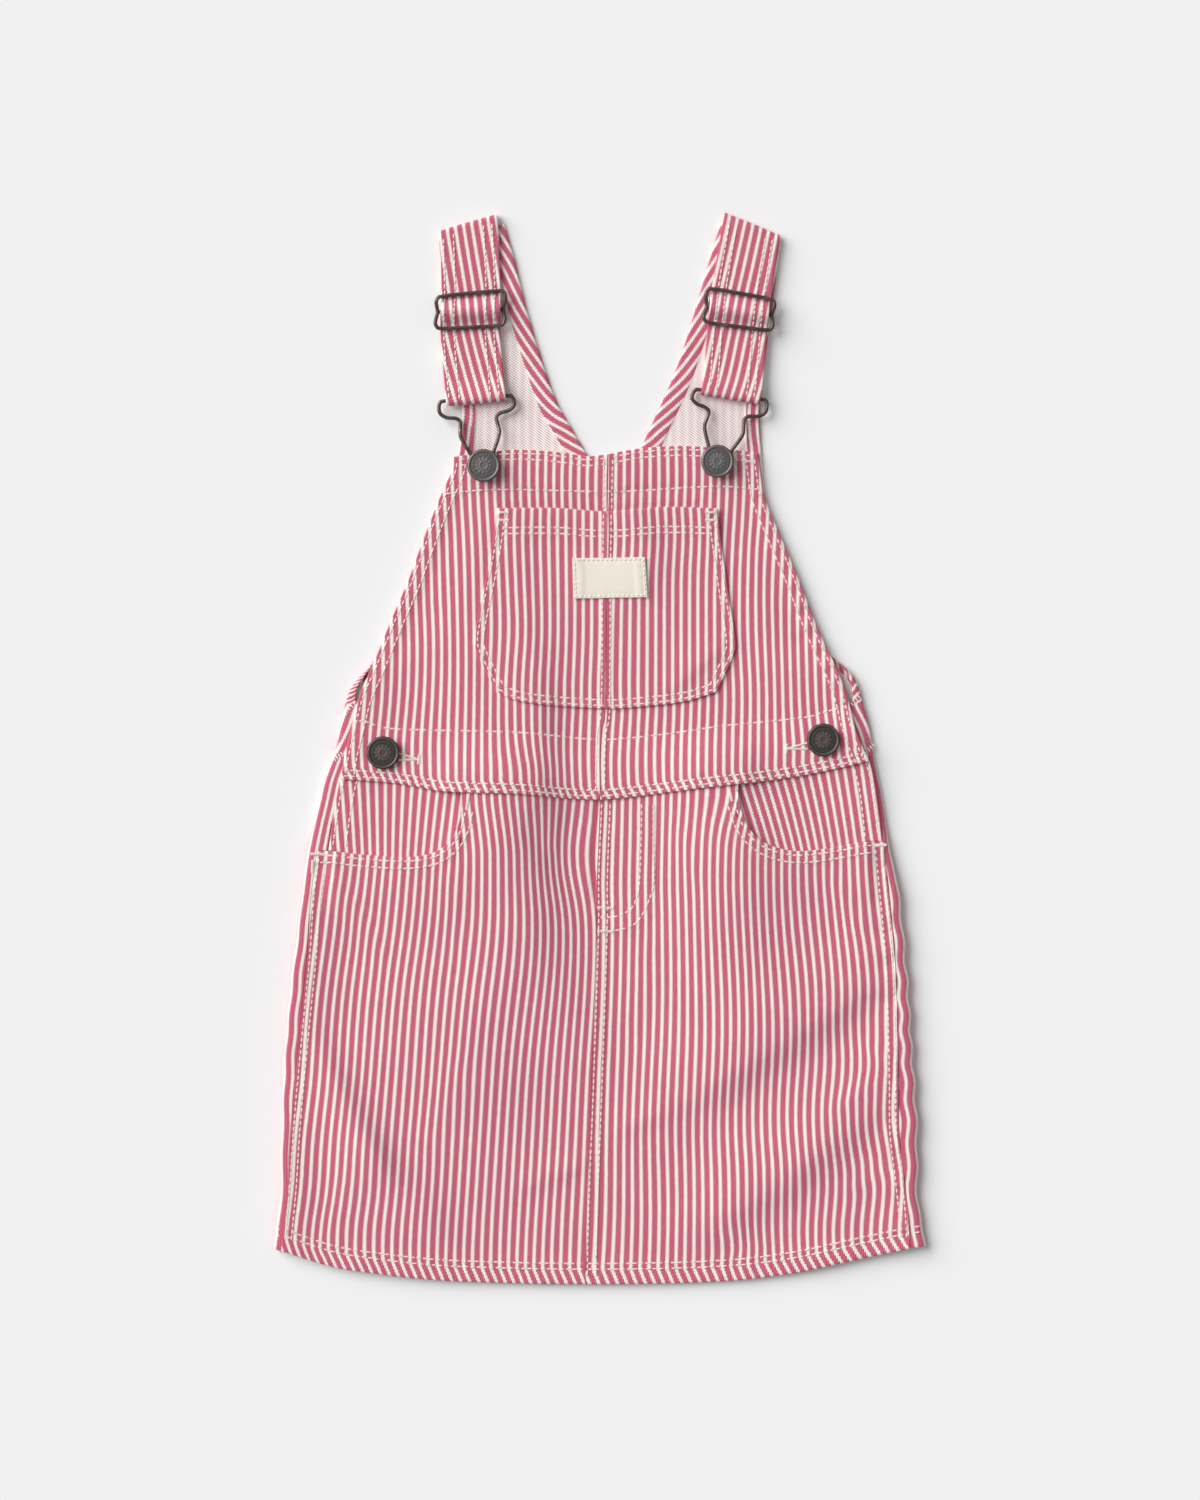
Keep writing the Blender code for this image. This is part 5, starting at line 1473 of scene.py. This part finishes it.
def makeSlide(side):
    # a rounded rectangle that dips under the strap's loop, and a straight bar across its middle
    bar = strapRoute()[1]
    half, wide, corner, levels = (wire["slide" + what] for what in ("Half", "Wide", "Corner", "Levels"))

    def bend(end, way, turns):
        turns = np.radians(turns)
        along, across = half - corner + corner * np.cos(turns), wide - corner + corner * np.sin(turns)
        return [(end * x, way * y, levels[end]) for x, y in zip(along, across)]

    points = []
    for end in (-1, 1):
        way = -end
        points += [(end * half, across * way, levels[end]) for across in (-10.0, 0.0, 10.0)]
        points += bend(end, way, (25, 55, 90))
        points.append((end * 2.6, way * (wide - 0.4), bar + 0.55 * (levels[end] - bar)))
        points.append((0.0, way * (wide - 0.9), bar + 0.3))
        points.append((-end * 2.6, way * (wide - 0.4), bar + 0.55 * (levels[-end] - bar)))
        points += bend(-end, way, (90, 55, 25))
    closed = smoothCurve(points[-3:] + points + points[:3], 6)[18:-19]
    plan = strapPlan(side, strap["slideAt"] + closed[:, 0], closed[:, 1])
    piece = tube("wire_slide_" + side, np.column_stack([plan, closed[:, 2]]), wire["shown"], True)
    place(piece, "wire", "slide_" + side)
    reach = wide - 1.3
    end = reach - np.array([0.0, 0.1, 0.4, 1.0])
    across = np.concatenate([-end, np.linspace(-reach + 2, reach - 2, 12), end[::-1]])
    plan = strapPlan(side, np.full(across.shape, strap["slideAt"]), across)
    line = np.column_stack([plan, np.full(across.shape, bar)])
    piece = tube("wire_slide_bar_" + side, line, wire["shown"], False)
    place(piece, "wire", "slide_bar_" + side)


def makeBuckle(side):
    # a keyhole of wire: its bar lies in the strap's fold and its loop goes round the button's shank
    bar = strapRoute()[1]
    button = np.array(buttons["bib"][side])
    barMiddle = strapPlan(side, wire["hookAt"], 0.0)
    barRight = strapPlan(side, wire["hookAt"], 1.0) - barMiddle
    length = np.linalg.norm(button - barMiddle)
    down = unit(button - barMiddle)
    right = np.array([-down[1], down[0]])
    scale = (length + wire["pastButton"]) / wire["hook"][-1][1]
    level = float(onBib(button[:1], button[1:])[0]) + cloth["gap"] + wire["thick"] / 2 + 0.3
    one = np.vstack([wire["hookBar"], smoothCurve(wire["hook"], 5)])
    both = np.vstack([one, (one * [-1, 1])[-2:0:-1]])
    sideways = barRight + (right - barRight) * climb(both[:, 1:], 0.0, 9.0)
    plan = barMiddle + sideways * both[:, :1] + down * both[:, 1:] * scale
    height = bar + (level - bar) * climb(both[:, 1], 10.0, 14.0)
    piece = tube("wire_buckle_" + side, np.column_stack([plan, height]), wire["shown"], True)
    place(piece, "wire", "buckle_" + side)
    return level


def highestUnder(centre, radius):
    turn = np.linspace(0, 2 * math.pi, 16, endpoint=False)
    x, y = np.append(0.0, radius * np.cos(turn)), np.append(0.0, radius * np.sin(turn))
    return float(onBib(centre[0] + x, centre[1] + y).max())


def makeButton(name, node, centre, below, material, segments=72):
    # a profile of (radius, height) turned round its own axis, with its head over what is below; rim ropes, a
    # ring of beads and short rays come from cosines of the turn, each inside a bell across the radius
    head, shank = buttons["head"], buttons["shank"]
    foot = highestUnder(centre, shank) + buttons["shankGap"]
    seat = max(below + cloth["gap"], foot + 0.4)
    top = seat + buttons["thick"]
    profile = [(0.01, foot), (shank, foot), (shank, seat + 0.05)]
    profile += [(head - inset, seat + rise) for inset, rise in buttons["edge"]]
    profile += [(head - inset, top - drop) for inset, drop in buttons["crown"]]
    profile += [(radius, top - drop) for radius, drop in buttons["middle"]]
    radius, height = np.array(profile).T[:, :, None]
    turn = np.linspace(0, 2 * math.pi, segments, endpoint=False)
    onTop = (height > top - 0.8) & (radius < head - 1.3)
    beads = 0.20 * (0.5 + 0.5 * np.cos(24 * turn)) * bell(radius - head + 2.3, 0.45) * onTop
    rays = 0.19 * (0.5 + 0.5 * np.cos(12 * turn)) * bell(radius - 3.3, 0.8) * onTop
    ropes = 0.09 * np.cos(36 * turn + 1.0) * bell(radius - head + 0.7, 0.4) * (height > seat + 1.5)
    height = height + beads + rays + ropes
    grid = np.dstack([centre[0] + radius * np.cos(turn), centre[1] + radius * np.sin(turn), height])
    piece = ringMesh(name, grid, material, np.array([(*centre, foot), (*centre, height[-1, 0])]))
    piece.data.set_sharp_from_angle(angle=math.radians(50))
    levels = np.append(height.ravel(), [foot, height[-1, 0]])
    raised = climb(levels, top - 0.52, 0.34) * (levels > top - 0.8)
    worn = piece.data.attributes.new("worn", "FLOAT", "POINT")
    worn.data.foreach_set("value", raised.astype(np.float32))
    place(piece, "button_metal", node)


for side in signs:
    makeSlide(side)
    makeStrap(side)
    wireTop = makeBuckle(side) + wire["thick"] / 2
    makeButton("button_bib_" + side, "bib_button_" + side, buttons["bib"][side], wireTop, greyButton)
    spot = buttons["side"][side]
    below = highestUnder(spot, buttons["head"])
    makeButton("button_side_" + side, "side_button_" + side, spot, below, brownButton)
print("straps and metal made")


# ---- topstitching

seed = np.random.default_rng(7)


def stitchMesh(name, rows, rings=6, sides=6):
    # each stitch is an ellipse carried along a short piece of its row; its height is an arch that dips into
    # the cloth at both ends, 1 - (2t - 1)^4, and its width closes there too, the root of 1 - (2t - 1)^6
    t = np.linspace(0, 1, rings)
    lines = []
    for line, surface, pitch, length in rows:
        reach = walked(line)[-1]
        count = max(1, int((reach - 0.4) / pitch))
        slack = (reach - count * pitch) / 2 + (pitch - length) / 2
        begin = slack + pitch * np.arange(count) + seed.uniform(-sewing["loose"], sewing["loose"], count)
        size = length * seed.uniform(0.92, 1.06, count)
        if reach < sewing["single"]:
            begin, size = np.array([0.0]), np.array([reach])
        spots = pointsAt(line, begin[:, None] + size[:, None] * t)
        if line.shape[1] == 2:
            height = surface(spots[..., 0], spots[..., 1])
            spots = np.concatenate([spots, height[..., None]], axis=-1)
        lines.append(spots)
    spots = np.concatenate(lines)
    spots[..., 2] += sewing["lift"] * (1 - (2 * t - 1) ** 4) - sewing["sunk"]
    across, upright = acrossPath(np.gradient(spots, axis=1))
    turn = np.linspace(0, 2 * math.pi, sides, endpoint=False)[:, None]
    size = sewing["width"] * np.sqrt(np.maximum(1 - (2 * t - 1) ** 6, 0.05))
    ring = np.cos(turn) * across[:, :, None] + 0.8 * np.sin(turn) * upright[:, :, None]
    grid = spots[:, :, None] + size[:, None, None] * ring
    total = len(spots)
    index = np.arange(total * rings * sides).reshape(total, rings, sides)
    first, last = index[:, 0], index[:, -1]
    caps = [first[:, [0, 1, 2, 3]], first[:, [0, 3, 4, 5]], last[:, [3, 2, 1, 0]], last[:, [5, 4, 3, 0]]]
    faces = np.concatenate([quads(np.concatenate([index, index[..., :1]], axis=-1))[:, ::-1], *caps])
    piece = newObject(name, grid.reshape(-1, 3), faces, [threadFinish])
    place(piece, "striped_twill")
    return total


stitchTotal = sum(stitchMesh("topstitch_" + group, rows) for group, rows in rowsSewn.items())
print("topstitching made:", stitchTotal, "stitches")


# ---- the floor, the light and the camera

studio = {
    "floor": (0.90, 0.90, 0.905, 1.0),
    "floorShade": (0.86, 0.86, 0.86, 1.0),
    "floorSize": 6.0,
    "ambient": 0.34,
    "sun": 3.57,
    "spread": 50.0,
    "lean": (-52.1, 24.5),
    "camera": (0.0, -0.0007, 1.958),
    "lens": 100.0,
}


def makeFloor():
    bpy.ops.mesh.primitive_plane_add(size=studio["floorSize"], location=(0.0, 0.0, -0.0002))
    floor = bpy.context.object
    floor.name = "studio_floor"
    shade = Shade("studio_paper")
    tooth = shade.grain(shade.onObject(), 900.0, 3.0, 0.6)
    colour = shade.mix(tooth * 0.02, studio["floor"], studio["floorShade"])
    rough, matt = 0.95 + tooth * 0.02, {"Specular IOR Level": 0.0}
    floor.data.materials.append(shade.finish(colour, rough, tooth, 0.00001, matt))


def makeLight():
    # an even glow from all round, and a wide sun that leans in from the upper left
    world = bpy.data.worlds.new("studio_air")
    world.use_nodes = True
    air = world.node_tree.nodes["Background"].inputs
    air["Color"].default_value = (1.0, 1.0, 1.0, 1.0)
    air["Strength"].default_value = studio["ambient"]
    bpy.context.scene.world = world
    light = bpy.data.lights.new("studio_window", "SUN")
    light.energy = studio["sun"]
    light.angle = math.radians(studio["spread"])
    lamp = bpy.data.objects.new("studio_window", light)
    across, up = (math.radians(turn) for turn in studio["lean"])
    lamp.rotation_euler = (-up, across, 0.0)
    bpy.context.scene.collection.objects.link(lamp)


def makeCamera():
    camera = bpy.data.cameras.new("photo_camera")
    camera.lens = studio["lens"]
    camera.sensor_width = 36.0
    camera.clip_start = 0.05
    holder = bpy.data.objects.new("photo_camera", camera)
    holder.location = studio["camera"]
    bpy.context.scene.collection.objects.link(holder)
    bpy.context.scene.camera = holder


makeFloor()
makeLight()
makeCamera()
bpy.context.scene.view_settings.view_transform = "Standard"
print("studio ready")
